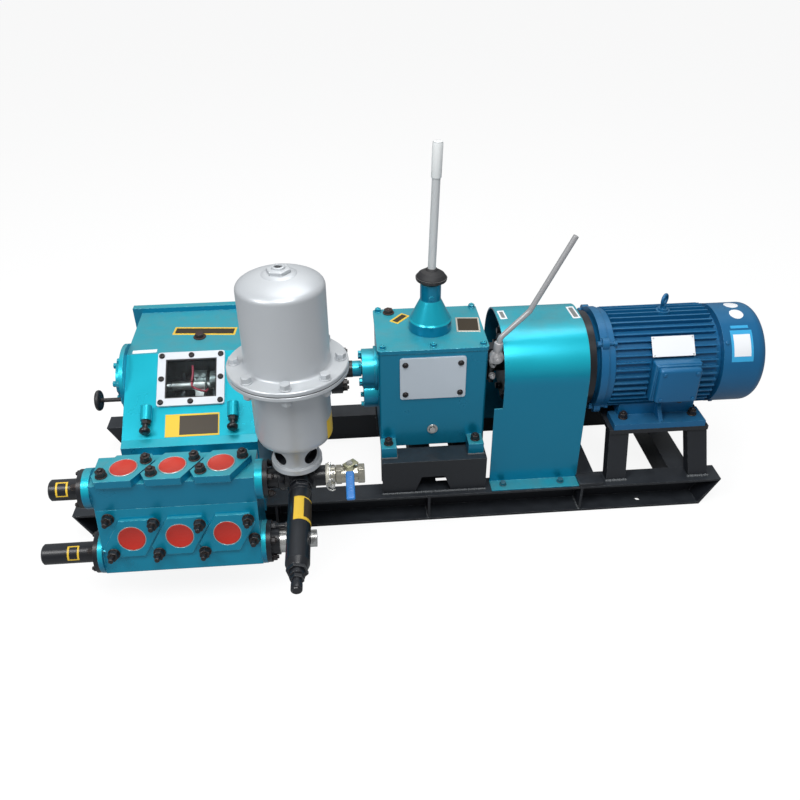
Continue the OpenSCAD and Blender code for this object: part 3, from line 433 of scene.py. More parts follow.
FINISHES: dict[Slot, Finish | Glazing] = {
    Slot.FRAME: Finish(
        "black_frame_paint", (0.011, 0.013, 0.017), bare_and_highlight_colour=(0.16, 0.17, 0.18), gloss=0.36, wear_and_edge_highlight=0.7,
        dust=0.16, dust_colour=(0.12, 0.14, 0.16), bump=0.0002, grain=260.0,
    ),
    # Teal paint: its grey-teal upward colour is partly dust and partly painted sheen.
    # Teal paint: its light cyan edge colour is partly scuffs and partly painted highlight.
    # Teal paint: painted shade darkens its upright faces.
    Slot.TEAL: Finish(
        "teal_machine_paint", (0.0, 0.46, 0.59), bare_and_highlight_colour=(0.25, 0.70, 0.76), metallic=0.45, gloss=0.29,
        wear_and_edge_highlight=0.6, dust=0.55, dust_colour=(0.13, 0.27, 0.29), coat=0.25, side_shade=0.8, bump=0.00012,
        grain=380.0, radius=0.0022,
    ),
    Slot.WINDOW: Finish(
        "window_frame_alloy", (0.62, 0.65, 0.69), gloss=0.36, wear_and_edge_highlight=0.2, metallic=0.1, dust=0.05
    ),
    Slot.PANE: Glazing("window_pane", (0.86, 0.93, 0.95)),
    Slot.BRIGHT: Finish(
        "bright_steel", (0.62, 0.62, 0.60), metallic=0.9, gloss=0.28, wear_and_edge_highlight=0.1, dust=0.05
    ),
    Slot.BLACK: Finish(
        "black_fitting_paint", (0.008, 0.009, 0.012), bare_and_highlight_colour=(0.16, 0.17, 0.18), gloss=0.3, wear_and_edge_highlight=0.6,
        dust=0.1, dust_colour=(0.2, 0.22, 0.24),
    ),
    Slot.KNOB: Finish("black_knob", (0.015, 0.015, 0.017), gloss=0.45, wear_and_edge_highlight=0.1, dust=0.1),
    Slot.CAP: Finish(
        "red_valve_caps", (0.46, 0.022, 0.012), bare_and_highlight_colour=(0.7, 0.3, 0.24), gloss=0.32, wear_and_edge_highlight=0.2,
        dust=0.2, dust_colour=(0.62, 0.16, 0.11),
    ),
    Slot.SILVER: Finish(
        "silver_grey_paint", (0.49, 0.515, 0.54), bare_and_highlight_colour=(0.75, 0.77, 0.78), gloss=0.36, metallic=0.3,
        wear_and_edge_highlight=0.5, dust=0.25, dust_colour=(0.66, 0.68, 0.68),
    ),
    Slot.GRIP: Finish("blue_vinyl_grip", (0.02, 0.17, 0.50), gloss=0.28, wear_and_edge_highlight=0.05, dust=0.1),
    Slot.PLATE: Finish(
        "inspection_plate_alloy", (0.60, 0.67, 0.74), metallic=0.2, gloss=0.4, wear_and_edge_highlight=0.4, dust=0.05
    ),
    Slot.LEVER: Finish(
        "lever_steel", (0.44, 0.44, 0.45), metallic=0.45, gloss=0.4, wear_and_edge_highlight=0.1, dust=0.05
    ),
    Slot.BOOT: Finish("boot_rubber", (0.014, 0.014, 0.016), gloss=0.6, wear_and_edge_highlight=0.1, dust=0.2),
    # Motor paint: its light blue edge colour is partly scuffs and partly painted highlight.
    Slot.MOTOR: Finish(
        "blue_motor_paint", (0.006, 0.115, 0.27), bare_and_highlight_colour=(0.12, 0.32, 0.46), metallic=0.15, gloss=0.34,
        wear_and_edge_highlight=0.6, dust=0.25, dust_colour=(0.09, 0.23, 0.34),
    ),
}

DARK_HEAD = Finish(
    "browned_bolt_heads", (0.020, 0.018, 0.019), bare_and_highlight_colour=(0.17, 0.11, 0.09), metallic=0.3, gloss=0.38,
    wear_and_edge_highlight=0.7, radius=0.0009, dust=0.18, dust_colour=(0.16, 0.12, 0.11),
)
BROWN_HEAD = Finish(
    "brown_plug", (0.045, 0.026, 0.024), bare_and_highlight_colour=(0.2, 0.13, 0.1), metallic=0.3, gloss=0.42,
    wear_and_edge_highlight=0.5, radius=0.0009, dust=0.2, dust_colour=(0.14, 0.1, 0.09),
)
TEAL_HEAD = Finish(
    "dark_teal_heads", (0.004, 0.10, 0.15), bare_and_highlight_colour=(0.05, 0.06, 0.07), gloss=0.35, wear_and_edge_highlight=0.8, radius=0.0009
)
WELD = Finish(
    "weld_bead_paint", (0.075, 0.083, 0.09), bare_and_highlight_colour=(0.3, 0.31, 0.32), gloss=0.38, wear_and_edge_highlight=0.8,
    radius=0.0006, dust=0.35, dust_colour=(0.3, 0.31, 0.32),
)
OILY_CAST = Finish(
    "oily_casting", (0.030, 0.040, 0.046), gloss=0.25, wear_and_edge_highlight=0.1, bump=0.0003, grain=180.0, tone=0.4
)
OILY_STEEL = Finish("oily_steel", (0.20, 0.235, 0.23), metallic=0.5, gloss=0.25, tone=0.3, dust=0.0)
ROD_RED = Finish("rod_marking_red", (0.33, 0.02, 0.045), gloss=0.35, wear_and_edge_highlight=0.1, dust=0.0)
YELLOW_FILM = film("yellow_film", (0.76, 0.50, 0.035), gloss=0.32, dust=0.06, tone=0.08)
BROWN_FILM = film("brown_film", (0.034, 0.023, 0.010), dust=0.0, tone=0.25)
WHITE_FILM = film("white_film", (0.80, 0.82, 0.85), dust=0.03, tone=0.05)
GREY_FILM = film("grey_film", (0.16, 0.17, 0.17), tone=0.3)
SKY_FILM = film("sky_blue_film", (0.035, 0.36, 0.66), dust=0.03)
PALE_METAL = Finish("pale_plate_rim", (0.62, 0.60, 0.52), metallic=0.3, gloss=0.35, wear_and_edge_highlight=0.1, radius=0.0004)
PALE_SLEEVE = Finish(
    "pale_sleeve", (0.72, 0.74, 0.74), gloss=0.38, wear_and_edge_highlight=0.05, radius=0.0008, dust=0.04, bump=0.00003
)
NICKEL = Finish("nickelled_brass", (0.50, 0.48, 0.40), metallic=0.9, gloss=0.26, wear_and_edge_highlight=0.1, dust=0.05)
ZINC_YELLOW = Finish("yellow_zinc", (0.40, 0.40, 0.26), metallic=0.75, gloss=0.34, wear_and_edge_highlight=0.15, tone=0.3)
SHIFT_ROD = Finish("pale_shift_rod", (0.60, 0.62, 0.63), metallic=0.2, gloss=0.38, wear_and_edge_highlight=0.1, dust=0.0)
CAP_RIM = Finish("pale_cap_rim", (0.42, 0.50, 0.50), metallic=0.4, gloss=0.3, wear_and_edge_highlight=0.1, dust=0.0)
# Painted shade: a near-black, barely reflecting finish for the dark inside of openings.
SLOT_SHADE_PAINT = Finish("air_slot_painted_shade", (0.004, 0.005, 0.007), gloss=0.8, wear_and_edge_highlight=0.0, dust=0.0, specular=0.1)
OWN_FINISH: dict[str, Finish] = {"shift_lever": SHIFT_ROD, "ball_valve": NICKEL}


class FinishRack:
    """All materials, built once and handed out by slot or by finish."""

    def __init__(self) -> None:
        """Builds the material of every slot."""
        self.groups = SurfaceGroups()
        self.by_slot = {s: f.build(self.groups) for s, f in FINISHES.items()}
        self.extra: dict[str, bpy.types.Material] = {}

    def special(self, finish: Finish) -> bpy.types.Material:
        """Gives a finish that isn't a slot's own.

        Args:
            finish: The finish wanted.

        Returns:
            Its material, built on first use.
        """
        if finish.name not in self.extra:
            self.extra[finish.name] = finish.build(self.groups)
        return self.extra[finish.name]


def move(x: float = 0.0, y: float = 0.0, z: float = 0.0) -> Matrix:
    """A move in millimetres."""
    return Matrix.Translation((x, y, z))


def turn(degrees: float, axis: str) -> Matrix:
    """A turn in degrees about the axis X, Y or Z."""
    return Matrix.Rotation(math.radians(degrees), 4, axis)


def stand_on(point: Triple, axis: Triple = (0, 0, 1), spin: float = 0.0) -> Matrix:
    """Placement whose local Z runs along an axis.

    Args:
        point: Origin in millimetres.
        axis: Direction of local Z.
        spin: Turn about that axis, in degrees.

    Returns:
        The placement, in millimetres.
    """
    lean = Vector(axis).normalized().to_track_quat("Z", "Y").to_matrix().to_4x4()
    return Matrix.Translation(Vector(point)) @ lean @ turn(spin, "Z")


def along_skid(y: float, z: float) -> Matrix:
    """Placement whose local Z runs along the skid and whose local X points up."""
    return move(0, y, z) @ Matrix(((0, 0, 1, 0), (0, -1, 0, 0), (1, 0, 0, 0), (0, 0, 0, 1)))


def polar(count: int, start: float) -> Iterator[tuple[int, float, float]]:
    """Points spaced evenly on a circle of radius 1.

    Args:
        count: Number of points.
        start: Angle of the first point in degrees.

    Yields:
        Number, cosine and sine of each point.
    """
    for i in range(count):
        angle = math.radians(start + 360.0 / count * i)
        yield i, math.cos(angle), math.sin(angle)


def corners(half_x: float, half_y: float) -> Iterator[Pair]:
    """The four corners of a rectangle, from its half length and half width."""
    for i in (-1, 1):
        for j in (-1, 1):
            yield i * half_x, j * half_y


@dataclass(frozen=True)
class Fastener:
    """Sizes of a hexagon nut or bolt head in millimetres.

    Attributes:
        across: Width across the flats.
        height: Height of the hexagon.
        washer: Thickness of the washer, none at 0.
        stud: Length of stud above the nut, none at 0.
        stud_r: Radius of that stud.
    """

    across: float
    height: float
    washer: float = 0.0
    stud: float = 0.0
    stud_r: float = 0.0


class Shape:
    """A mesh in millimetres that grows by bmesh operators."""

    def __init__(self) -> None:
        """Starts an empty mesh."""
        self.bm = bmesh.new()

    def _round(self, made: dict, width: float, steps: int, rims: bool) -> None:
        """Rounds edges of what was just added.

        Args:
            made: What the operator gave.
            width: Width of the rounding, none at 0.
            steps: Segments of the rounding.
            rims: Rounds only the edges of faces with more than four sides.
        """
        if width <= 0:
            return
        verts = set(made["verts"])
        edges = [
            e for e in self.bm.edges
            if verts.issuperset(e.verts) and (not rims or any(len(f.verts) > 4 for f in e.link_faces))
        ]
        bmesh.ops.bevel(
            self.bm, geom=edges, offset=width, segments=steps, profile=0.5, affect="EDGES", material=-1
        )

    def drum(
        self, at: Matrix, radius: float, height: float, sides: int = 32, top: float | None = None,
        bevel: float = 0.0, steps: int = 2,
    ) -> None:
        """Adds a cylinder, prism or cone that stands on local z = 0.

        Args:
            at: Placement in millimetres.
            radius: Radius at the foot.
            height: Height along local Z.
            sides: Number of sides.
            top: Radius at the top, the same as at the foot if left out.
            bevel: Width of the rounded rim edges.
            steps: Segments of that rounding.
        """
        made = bmesh.ops.create_cone(
            self.bm, cap_ends=True, segments=sides, radius1=radius,
            radius2=radius if top is None else top, depth=height, matrix=at @ move(z=height / 2),
        )
        self._round(made, bevel, steps, rims=True)

    def slab(self, at: Matrix, size: Triple, bevel: float = 0.0, steps: int = 2) -> None:
        """Adds a block centred in X and Y that stands on local z = 0.

        Args:
            at: Placement in millimetres.
            size: Length, width and height.
            bevel: Width of the rounded edges.
            steps: Segments of that rounding.
        """
        place = at @ move(z=size[2] / 2) @ Matrix.Diagonal((*size, 1.0))
        self._round(bmesh.ops.create_cube(self.bm, size=1.0, matrix=place), bevel, steps, rims=False)

    def join(self, part: bmesh.types.BMesh) -> None:
        """Adds a finished part and frees it.

        Args:
            part: The part.
        """
        holder = bpy.data.meshes.new("part")
        part.to_mesh(holder)
        part.free()
        self.bm.from_mesh(holder)
        bpy.data.meshes.remove(holder)

    def turned(self, at: Matrix, outline: Sequence[Pair], sides: int = 48) -> None:
        """Adds a turned shape from its outline.

        Args:
            at: Placement in millimetres.
            outline: Radius and height pairs from the foot to the top.
            sides: Number of sides.
        """
        part = bmesh.new()
        verts = [part.verts.new((r, 0.0, z)) for r, z in outline]
        edges = [part.edges.new(pair) for pair in zip(verts, verts[1:])]
        bmesh.ops.spin(
            part, geom=[*verts, *edges], cent=(0, 0, 0), axis=(0, 0, 1), angle=math.tau, steps=sides,
            use_merge=True,
        )
        bmesh.ops.remove_doubles(part, verts=part.verts, dist=0.001)
        bmesh.ops.holes_fill(part, edges=[e for e in part.edges if e.is_boundary], sides=0)
        bmesh.ops.recalc_face_normals(part, faces=part.faces)
        part.transform(at)
        self.join(part)

    def closed(self, at: Matrix, outline: Sequence[Pair], sides: int = 48) -> None:
        """Adds a turned ring whose outline is closed with its first point.

        Args:
            at: Placement in millimetres.
            outline: Radius and height pairs round the section.
            sides: Number of sides.
        """
        self.turned(at, [*outline, outline[0]], sides)

    def ring(self, at: Matrix, outer: float, inner: float, height: float, sides: int = 48) -> None:
        """Adds a flat ring that stands on local z = 0.

        Args:
            at: Placement in millimetres.
            outer: Outer radius.
            inner: Inner radius.
            height: Height along local Z.
            sides: Number of sides.
        """
        self.closed(at, [(inner, 0.0), (outer, 0.0), (outer, height), (inner, height)], sides)

    def tube(self, points: Sequence[Triple], radius: float, sides: int = 12) -> None:
        """Adds a round bar along a line of points, with mitred bends.

        Args:
            points: Points of the line in millimetres.
            radius: Radius of the bar.
            sides: Number of sides.
        """
        part = bmesh.new()
        way = (Vector(points[1]) - Vector(points[0])).normalized()
        seat = stand_on(points[0], tuple(way))
        bmesh.ops.create_circle(part, cap_ends=True, segments=sides, radius=radius, matrix=seat)
        front = part.faces[:]
        for i in range(1, len(points)):
            here = Vector(points[i])
            grown = bmesh.ops.extrude_face_region(part, geom=front)["geom"]
            verts = [g for g in grown if isinstance(g, bmesh.types.BMVert)]
            front = [g for g in grown if isinstance(g, bmesh.types.BMFace)]
            ahead = here - Vector(points[i - 1])
            after = Vector(points[i + 1]) - here if i + 1 < len(points) else ahead
            new_way = (ahead.normalized() + after.normalized()).normalized()
            bmesh.ops.translate(part, verts=verts, vec=ahead)
            swing = way.rotation_difference(new_way).to_matrix().to_4x4()
            place = Matrix.Translation(here) @ swing @ Matrix.Translation(-here)
            bmesh.ops.transform(part, matrix=place, verts=verts)
            way = new_way
        bmesh.ops.remove_doubles(part, verts=part.verts, dist=0.0005)
        bmesh.ops.recalc_face_normals(part, faces=part.faces)
        self.join(part)

    def wrap(self, at: Matrix, radius: float, angles: Pair, span: Pair, thick: float) -> None:
        """Adds a thin film that is bent round local Z.

        Args:
            at: Placement in millimetres.
            radius: Inner radius of the film.
            angles: Start and end angle in degrees, from local X towards local Y.
            span: Lowest and highest place along local Z.
            thick: Thickness of the film.
        """
        part = bmesh.new()
        first, last = angles
        ends = [part.verts.new(turn(first, "Z") @ Vector((radius + thick, 0.0, z))) for z in span]
        bmesh.ops.spin(
            part, geom=[*ends, part.edges.new(ends)], cent=(0, 0, 0), axis=(0, 0, 1),
            angle=math.radians(last - first), steps=max(4, int(abs(last - first) / 4)), use_merge=False,
        )
        bmesh.ops.remove_doubles(part, verts=part.verts, dist=0.001)
        bmesh.ops.recalc_face_normals(part, faces=part.faces)
        face = part.faces[:][0]
        middle = face.calc_center_median()
        if face.normal.dot(Vector((middle.x, middle.y, 0.0))) < 0:
            bmesh.ops.reverse_faces(part, faces=part.faces)
        bmesh.ops.solidify(part, geom=part.faces[:], thickness=thick)
        part.transform(at)
        self.join(part)

    def bead(self, start: Triple, end: Triple, width: float, pitch: float = 5.0) -> None:
        """Adds a weld bead as a row of overlapping ripples of slightly uneven size.

        Args:
            start: First point in millimetres.
            end: Last point.
            width: Width of the bead.
            pitch: Spacing of the ripples.
        """
        way = Vector(end) - Vector(start)
        count = max(2, int(way.length / pitch))
        lean = way.normalized().to_track_quat("X", "Z").to_matrix().to_4x4()
        for i in range(count + 1):
            sway = 0.5 * math.sin(i * 2.3) + 0.35 * math.sin(i * 5.1)
            place = Vector(start) + way * (i / count)
            size = 1.0 + 0.16 * math.sin(i * 3.7)
            scale = Matrix.Diagonal((pitch * 0.95, width * 0.5 * size, width * 0.42 * size, 1.0))
            at = Matrix.Translation(place) @ lean @ move(0, sway, 0) @ scale
            bmesh.ops.create_icosphere(self.bm, subdivisions=2, radius=1.0, matrix=at)

    def button(self, at: Matrix, radius: float, height: float) -> None:
        """Adds a round socket screw head with its recess.

        Args:
            at: Placement of the seat in millimetres.
            radius: Radius of the head.
            height: Height of the head.
        """
        outline = [
            (0.0, 0.0), (radius, 0.0), (radius, height * 0.35), (radius * 0.9, height * 0.7),
            (radius * 0.66, height * 0.95), (radius * 0.48, height), (radius * 0.46, height * 0.5),
            (0.0, height * 0.45),
        ]
        self.turned(at, outline, 24)

    def nut(self, at: Matrix, kind: Fastener) -> None:
        """Adds a hexagon nut or bolt head, with its washer and the stud that stands out.

        Args:
            at: Placement of the seat in millimetres.
            kind: Its sizes.
        """
        if kind.washer > 0:
            self.drum(at, kind.across * 0.66, kind.washer, 20, bevel=kind.washer * 0.25, steps=1)
        seat = at @ move(z=kind.washer)
        self.drum(seat, kind.across / math.sqrt(3), kind.height, 6, bevel=kind.across * 0.04, steps=1)
        if kind.stud > 0:
            tip = seat @ move(z=kind.height - 0.5)
            self.drum(tip, kind.stud_r, kind.stud + 0.5, 14, bevel=kind.stud_r * 0.2, steps=1)


@dataclass
class Workshop:
    """Turns shapes into finished pieces."""

    rack: FinishRack

    def piece(
        self, name: str, shape: Shape, slot: Slot, finish: Finish | None = None, body: Body = Body.SET,
        smooth: float = 35.0, replaces: str = "",
    ) -> None:
        """Finishes a shape as a piece that rides on a body.

        Args:
            name: Name of the piece.
            shape: The shape. Its mesh is freed.
            slot: Record slot that the piece takes its finish from.
            finish: A finish of its own, or the slot's finish if left out.
            body: Body that carries the piece.
            smooth: Angle in degrees under which edges are shaded smooth.
            replaces: CAD node that the piece stands for, if any.
        """
        bm = shape.bm
        bm.transform(Matrix.Diagonal((MM, MM, MM, 1.0)))
        for face in bm.faces:
            face.smooth = True
        limit = math.radians(smooth)
        for edge in bm.edges:
            edge.smooth = edge.calc_face_angle(0.0) < limit
        mesh = bpy.data.meshes.new(name)
        bm.to_mesh(mesh)
        bm.free()
        made = bpy.data.objects.new(name, mesh)
        bpy.context.scene.collection.objects.link(made)
        mesh.materials.append(self.rack.special(finish) if finish else self.rack.by_slot[slot])
        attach(made, body.value)
        if replaces:
            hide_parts(replaces)
        LOG.info("piece %s: %d faces on %s", name, len(mesh.polygons), body.value)


@dataclass
class Studio:
    """Floor, backdrop, lamps and camera.

    Attributes:
        camera_at: Place of the camera in metres.
        right: Direction to the right of the picture.
        down: Direction to the foot of the picture.
        focal: Focal length for a 36 mm wide picture.
    """

    camera_at: Triple = (-0.12282, -1.7319, 1.380)
    right: Triple = (0.9968117519, -0.0794036899, -0.0078348735)
    down: Triple = (-0.0503418876, -0.5497015579, -0.8338428458)
    focal: float = 35.6328

    def camera(self) -> None:
        """Sets the camera at the photograph's angle."""
        lens = bpy.data.cameras.new("camera")
        lens.sensor_width = 36.0
        lens.sensor_fit = "HORIZONTAL"
        lens.lens = self.focal
        lens.clip_start = 0.05
        made = bpy.data.objects.new("camera", lens)
        bpy.context.scene.collection.objects.link(made)
        x, y = Vector(self.right).normalized(), -Vector(self.down).normalized()
        columns = (x, y, x.cross(y), Vector(self.camera_at))
        made.matrix_world = Matrix((*(tuple(c[i] for c in columns) for i in range(3)), (0, 0, 0, 1)))
        bpy.context.scene.camera = made

    def floor(self) -> None:
        """Lays the pale floor, which looks white but throws little light back."""
        bm = bmesh.new()
        bmesh.ops.create_grid(bm, x_segments=1, y_segments=1, size=14.0)
        mesh = bpy.data.meshes.new("floor")
        bm.to_mesh(mesh)
        bm.free()
        made = bpy.data.objects.new("floor", mesh)
        bpy.context.scene.collection.objects.link(made)
        material, graph, shader = new_material("pale_floor")
        graph.feed(
            shader, {"Base Color": (0.34, 0.35, 0.36, 1.0), "Roughness": 0.9, "Specular IOR Level": 0.1}
        )
        paper = graph.add("BsdfDiffuse", {"Color": (0.9, 0.9, 0.9, 1.0)}).outputs[0]
        glow = graph.add("Emission", {"Strength": 1.04}).outputs[0]
        shown = graph.add("MixShader", {"Fac": 0.86, 1: paper, 2: glow}).outputs[0]
        seen = graph.add("LightPath").outputs["Is Camera Ray"]
        mixed = graph.add("MixShader", {"Fac": seen, 1: shader.outputs[0], 2: shown}).outputs[0]
        graph.feed(material.node_tree.nodes["Material Output"], {"Surface": mixed})
        mesh.materials.append(material)

    def sky(self) -> None:
        """Fills the surroundings with plain white for the camera and soft grey light."""
        world = bpy.data.worlds.new("studio")
        world.use_nodes = True
        bpy.context.scene.world = world
        nodes, graph = world.node_tree.nodes, Graph(world.node_tree)
        graph.feed(nodes["Background"], {"Color": (0.96, 0.98, 1.0, 1.0), "Strength": 0.34})
        plain = graph.add("Background", {"Color": (1.0, 1.0, 1.0, 1.0), "Strength": 1.0}).outputs[0]
        path = graph.add("LightPath").outputs
        clear = graph.calc("MAXIMUM", path["Is Camera Ray"], path["Is Transmission Ray"])
        inputs = {"Fac": clear, 1: nodes["Background"].outputs[0], 2: plain}
        graph.feed(nodes["World Output"], {"Surface": graph.add("MixShader", inputs).outputs[0]})

    def lamp(self, name: str, at: Triple, aim: Triple, size: float, power: float) -> None:
        """Hangs a soft square lamp.

        Args:
            name: Name of the lamp.
            at: Place in metres.
            aim: Point that it faces.
            size: Side of the square in metres.
            power: Power in watts.
        """
        light = bpy.data.lights.new(name, "AREA")
        light.shape = "SQUARE"
        light.size = size
        light.energy = power
        made = bpy.data.objects.new(name, light)
        bpy.context.scene.collection.objects.link(made)
        way = Vector(aim) - Vector(at)
        made.matrix_world = Matrix.Translation(at) @ way.to_track_quat("-Z", "Y").to_matrix().to_4x4()

    def build(self) -> None:
        """Builds the whole studio."""
        self.camera()
        self.floor()
        self.sky()
        self.lamp("key", (-2.4, -1.9, 3.0), (-0.2, 0.0, 0.3), 1.4, 62.0)
        self.lamp("top", (0.3, 0.5, 3.4), (0.0, 0.0, 0.3), 2.0, 40.0)
        self.lamp("front", (0.1, -1.75, 3.1), (0.0, -0.1, 0.4), 1.3, 58.0)
        bpy.context.scene.view_settings.view_transform = "Standard"


@dataclass
class Skid:
    """Weld beads and packing plate of the steel skid and its stands."""

    shop: Workshop
    top_z: float = 80.0
    support_x: Pair = (-54.0, 206.0)
    support_y: Pair = (-200.0, 138.0)
    stand_x: Pair = (521.0, 737.0)
    stand_leg_w: float = 50.0
    stand_foot_y: Pair = (-195.0, 195.0)
    gussets: Triple = (-322.0, 62.0, 454.0)
    rail_inner_y: float = 157.0
    pad_at: Pair = (477.0, -193.0)
    pad_size: Triple = (64.0, 42.0, 9.0)

    def welds(self) -> None:
        """Weld beads where the stands and supports meet the rails."""
        beads = Shape()
        left, right = self.support_x
        for y in self.support_y:
            beads.bead((left + 2, y, self.top_z + 1), (right - 2, y, self.top_z + 1), 8.0)
        for x in self.stand_x:
            for y in self.stand_foot_y:
                out = y + math.copysign(1.5, y)
                beads.bead((x, out, self.top_z), (x + self.stand_leg_w, out, self.top_z), 9.0)
        for x in self.gussets:
            for side in (-1, 1):
                root, tip = side * (self.rail_inner_y + 8), side * (self.rail_inner_y + 55)
                beads.bead((x - 3, root, 7.0), (x - 3, tip, 7.0), 5.0)
        self.shop.piece("skid_weld_beads", beads, Slot.FRAME, WELD)

    def rail_pad(self) -> None:
        """Flat packing plate on the front rail beside the guard."""
        pad = Shape()
        pad.slab(stand_on((*self.pad_at, self.top_z)), self.pad_size, 1.5)
        self.shop.piece("rail_packing_plate", pad, Slot.FRAME)

    def build(self) -> None:
        """Builds and dresses the skid."""
        self.welds()
        self.rail_pad()


@dataclass
class PowerEnd:
    """Window fittings, bolts, plug and bare plates of the crankcase."""

    shop: Workshop
    middle_x: float = -499.0
    left_x: float = -655.0
    right_x: float = -343.0
    top_z: float = 424.0
    foot_y: float = -213.0
    foot_z: float = 298.0
    slope: float = 35.446
    rise: Pair = (8.0, 222.0)
    window_s: float = 146.27
    frame_w: float = 158.0
    frame_h: float = 138.0
    frame_t: float = 8.0
    border: float = 19.0
    screw_inset: float = 9.5
    pocket: float = 96.0
    crank_s: float = 22.0
    shaft: Pair = (-31.0, 352.0)
    handwheel: Pair = (-100.0, 339.0)
    rear_y: float = 198.0
    filler_at: Pair = (-489.5, 32.8)
    top_plate_at: Triple = (-480.0, 61.0, -5.2)
    strip_at: Triple = (-614.0, -24.5, 2.0)
    slope_plate_at: Pair = (4.5, 30.0)
    rod_nut: Fastener = Fastener(11.0, 7.0)
    filler_plug: Fastener = Fastener(20.0, 9.0)
    left_bolt: Fastener = Fastener(13.0, 7.0, 1.5)
    left_rim_bolt: Fastener = Fastener(13.0, 6.0, 1.5)
    right_bolt: Fastener = Fastener(11.0, 6.0, 1.2)
    rear_bolt: Fastener = Fastener(14.0, 7.0, 1.5)

    def on_slope(self, x: float, s: float, lift: float = 0.0) -> Matrix:
        """Placement on the sloping front face.

        Args:
            x: Distance across from the middle.
            s: Distance up the slope from its foot.
            lift: Distance out of the face.

        Returns:
            The placement, in millimetres.
        """
        return move(self.middle_x, self.foot_y, self.foot_z) @ turn(self.slope, "X") @ move(x, s, lift)

    def on_top(self, x: float, y: float, spin: float = 0.0) -> Matrix:
        """Placement on the slightly rising top face, turned by a spin in degrees."""
        rise = Matrix.Rotation(math.atan2(*self.rise), 4, "X")
        return move(x, -36.0, self.top_z) @ rise @ move(0, y + 36.0, 0) @ turn(spin, "Z")

    def window_screws(self) -> None:
        """Eight dark socket screws round the window."""
        screws = Shape()
        half_x, half_s = self.frame_w / 2 - self.screw_inset, self.frame_h / 2 - self.screw_inset
        for i in (-1, 0, 1):
            for j in (-1, 0, 1):
                if i or j:
                    at = self.on_slope(i * half_x, self.window_s + j * half_s, self.frame_t)
                    screws.button(at, 6.8, 4.5)
        self.shop.piece("window_screws", screws, Slot.BLACK, DARK_HEAD)

    def line_window(
        self, shape: Shape, inset: float, lift: float, section: Pair, gap: float = 0.0, bevel: float = 0.0
    ) -> None:
        """Adds four strips along the sides of the window's opening.

        Args:
            shape: Shape to add to.
            inset: Distance of the strips' middle from the opening's edge.
            lift: Height of the strips' foot out of the face.
            section: Width and height of the strips.
            gap: How much shorter than the opening the strips are.
            bevel: Width of their rounded edges.
        """
        half_x, half_s = self.opening()
        wide, high = section
        for side in (-1, 1):
            at = self.on_slope(side * (half_x - inset), self.window_s, lift)
            shape.slab(at, (wide, 2 * half_s - gap, high), bevel)
            at = self.on_slope(0, self.window_s + side * (half_s - inset), lift)
            shape.slab(at, (2 * half_x - gap, wide, high), bevel)

    def opening(self) -> Pair:
        """Half width and half height of the window's opening."""
        return self.frame_w / 2 - self.border, self.frame_h / 2 - self.border

    def window_gasket(self) -> None:
        """Dark seal between the window frame and its pane."""
        seal = Shape()
        self.line_window(seal, 1.6, 4.0, (3.2, 2.6), bevel=0.8)
        self.shop.piece("window_gasket", seal, Slot.BOOT)

    def pocket_lining(self) -> None:
        """Oily dark walls behind the window, with webs of the casting."""
        walls = Shape()
        half_x, half_s = self.opening()
        floor = self.on_slope(0, self.window_s, -self.pocket + 0.4)
        walls.slab(floor, (2 * half_x - 1, 2 * half_s - 1, 1.2))
        self.line_window(walls, 1.0, -self.pocket + 0.8, (1.2, self.pocket - 1.0), gap=1)
        for x in (-34.0, 40.0):
            at = self.on_slope(x, self.window_s, -self.pocket + 1.4)
            walls.slab(at, (9.0, 2 * half_s - 4, 26.0), 2.0)
        self.shop.piece("crankcase_lining", walls, Slot.FRAME, OILY_CAST)

    def connecting_rods(self) -> None:
        """Red band of the middle rod and the caps on the crank pins."""
        band, caps = Shape(), Shape()
        route = ((-3, 44), (-2, 22), (-4, 2), (-3, -9), (3, -15), (16, -21), (30, -25), (36, -18))
        line = [tuple(self.on_slope(x, self.window_s + up, -22.0).translation) for x, up in route]
        band.tube(line, 2.6)
        self.shop.piece("rod_marking_band", band, Slot.CAP, ROD_RED)
        s = self.window_s + self.crank_s
        for x, long, radius in ((-2, 30, 26), (34, 20, 23)):
            caps.drum(self.on_slope(x, s, -62.0) @ turn(90, "Y"), radius, long, 32, bevel=2.0)
        for x in (4.0, 22.0):
            caps.nut(self.on_slope(x, s, -37.0), self.rod_nut)
        self.shop.piece("rod_caps", caps, Slot.BRIGHT, OILY_STEEL)

    def top_plug(self) -> None:
        """Oil filler plug on the top face."""
        plug = Shape()
        at = self.on_top(*self.filler_at)
        plug.drum(at, 15.5, 3.0, 32, bevel=0.8)
        plug.nut(at @ move(z=3), self.filler_plug)
        self.shop.piece("oil_filler_plug", plug, Slot.BLACK, BROWN_HEAD)

    def plates(self) -> None:
        """Bare plates on the top and on the sloping face."""
        border, inner, pale = Shape(), Shape(), Shape()
        top = self.on_top(*self.top_plate_at)
        border.slab(top, (157.0, 37.0, 0.7), 0.2, 1)
        inner.slab(top @ move(z=0.7), (147.0, 24.0, 0.3))
        low = self.on_slope(*self.slope_plate_at)
        border.slab(low, (125.0, 56.0, 0.7), 0.2, 1)
        inner.slab(low @ move(15.0, 0, 0.7), (89.0, 47.0, 0.3))
        pale.slab(self.on_top(*self.strip_at), (58.0, 14.0, 0.6), 0.2, 1)
        self.shop.piece("bare_plate_borders", border, Slot.PLATE, YELLOW_FILM)
        self.shop.piece("bare_plate_fields", inner, Slot.PLATE, BROWN_FILM)
        self.shop.piece("bare_strip", pale, Slot.PLATE, WHITE_FILM)

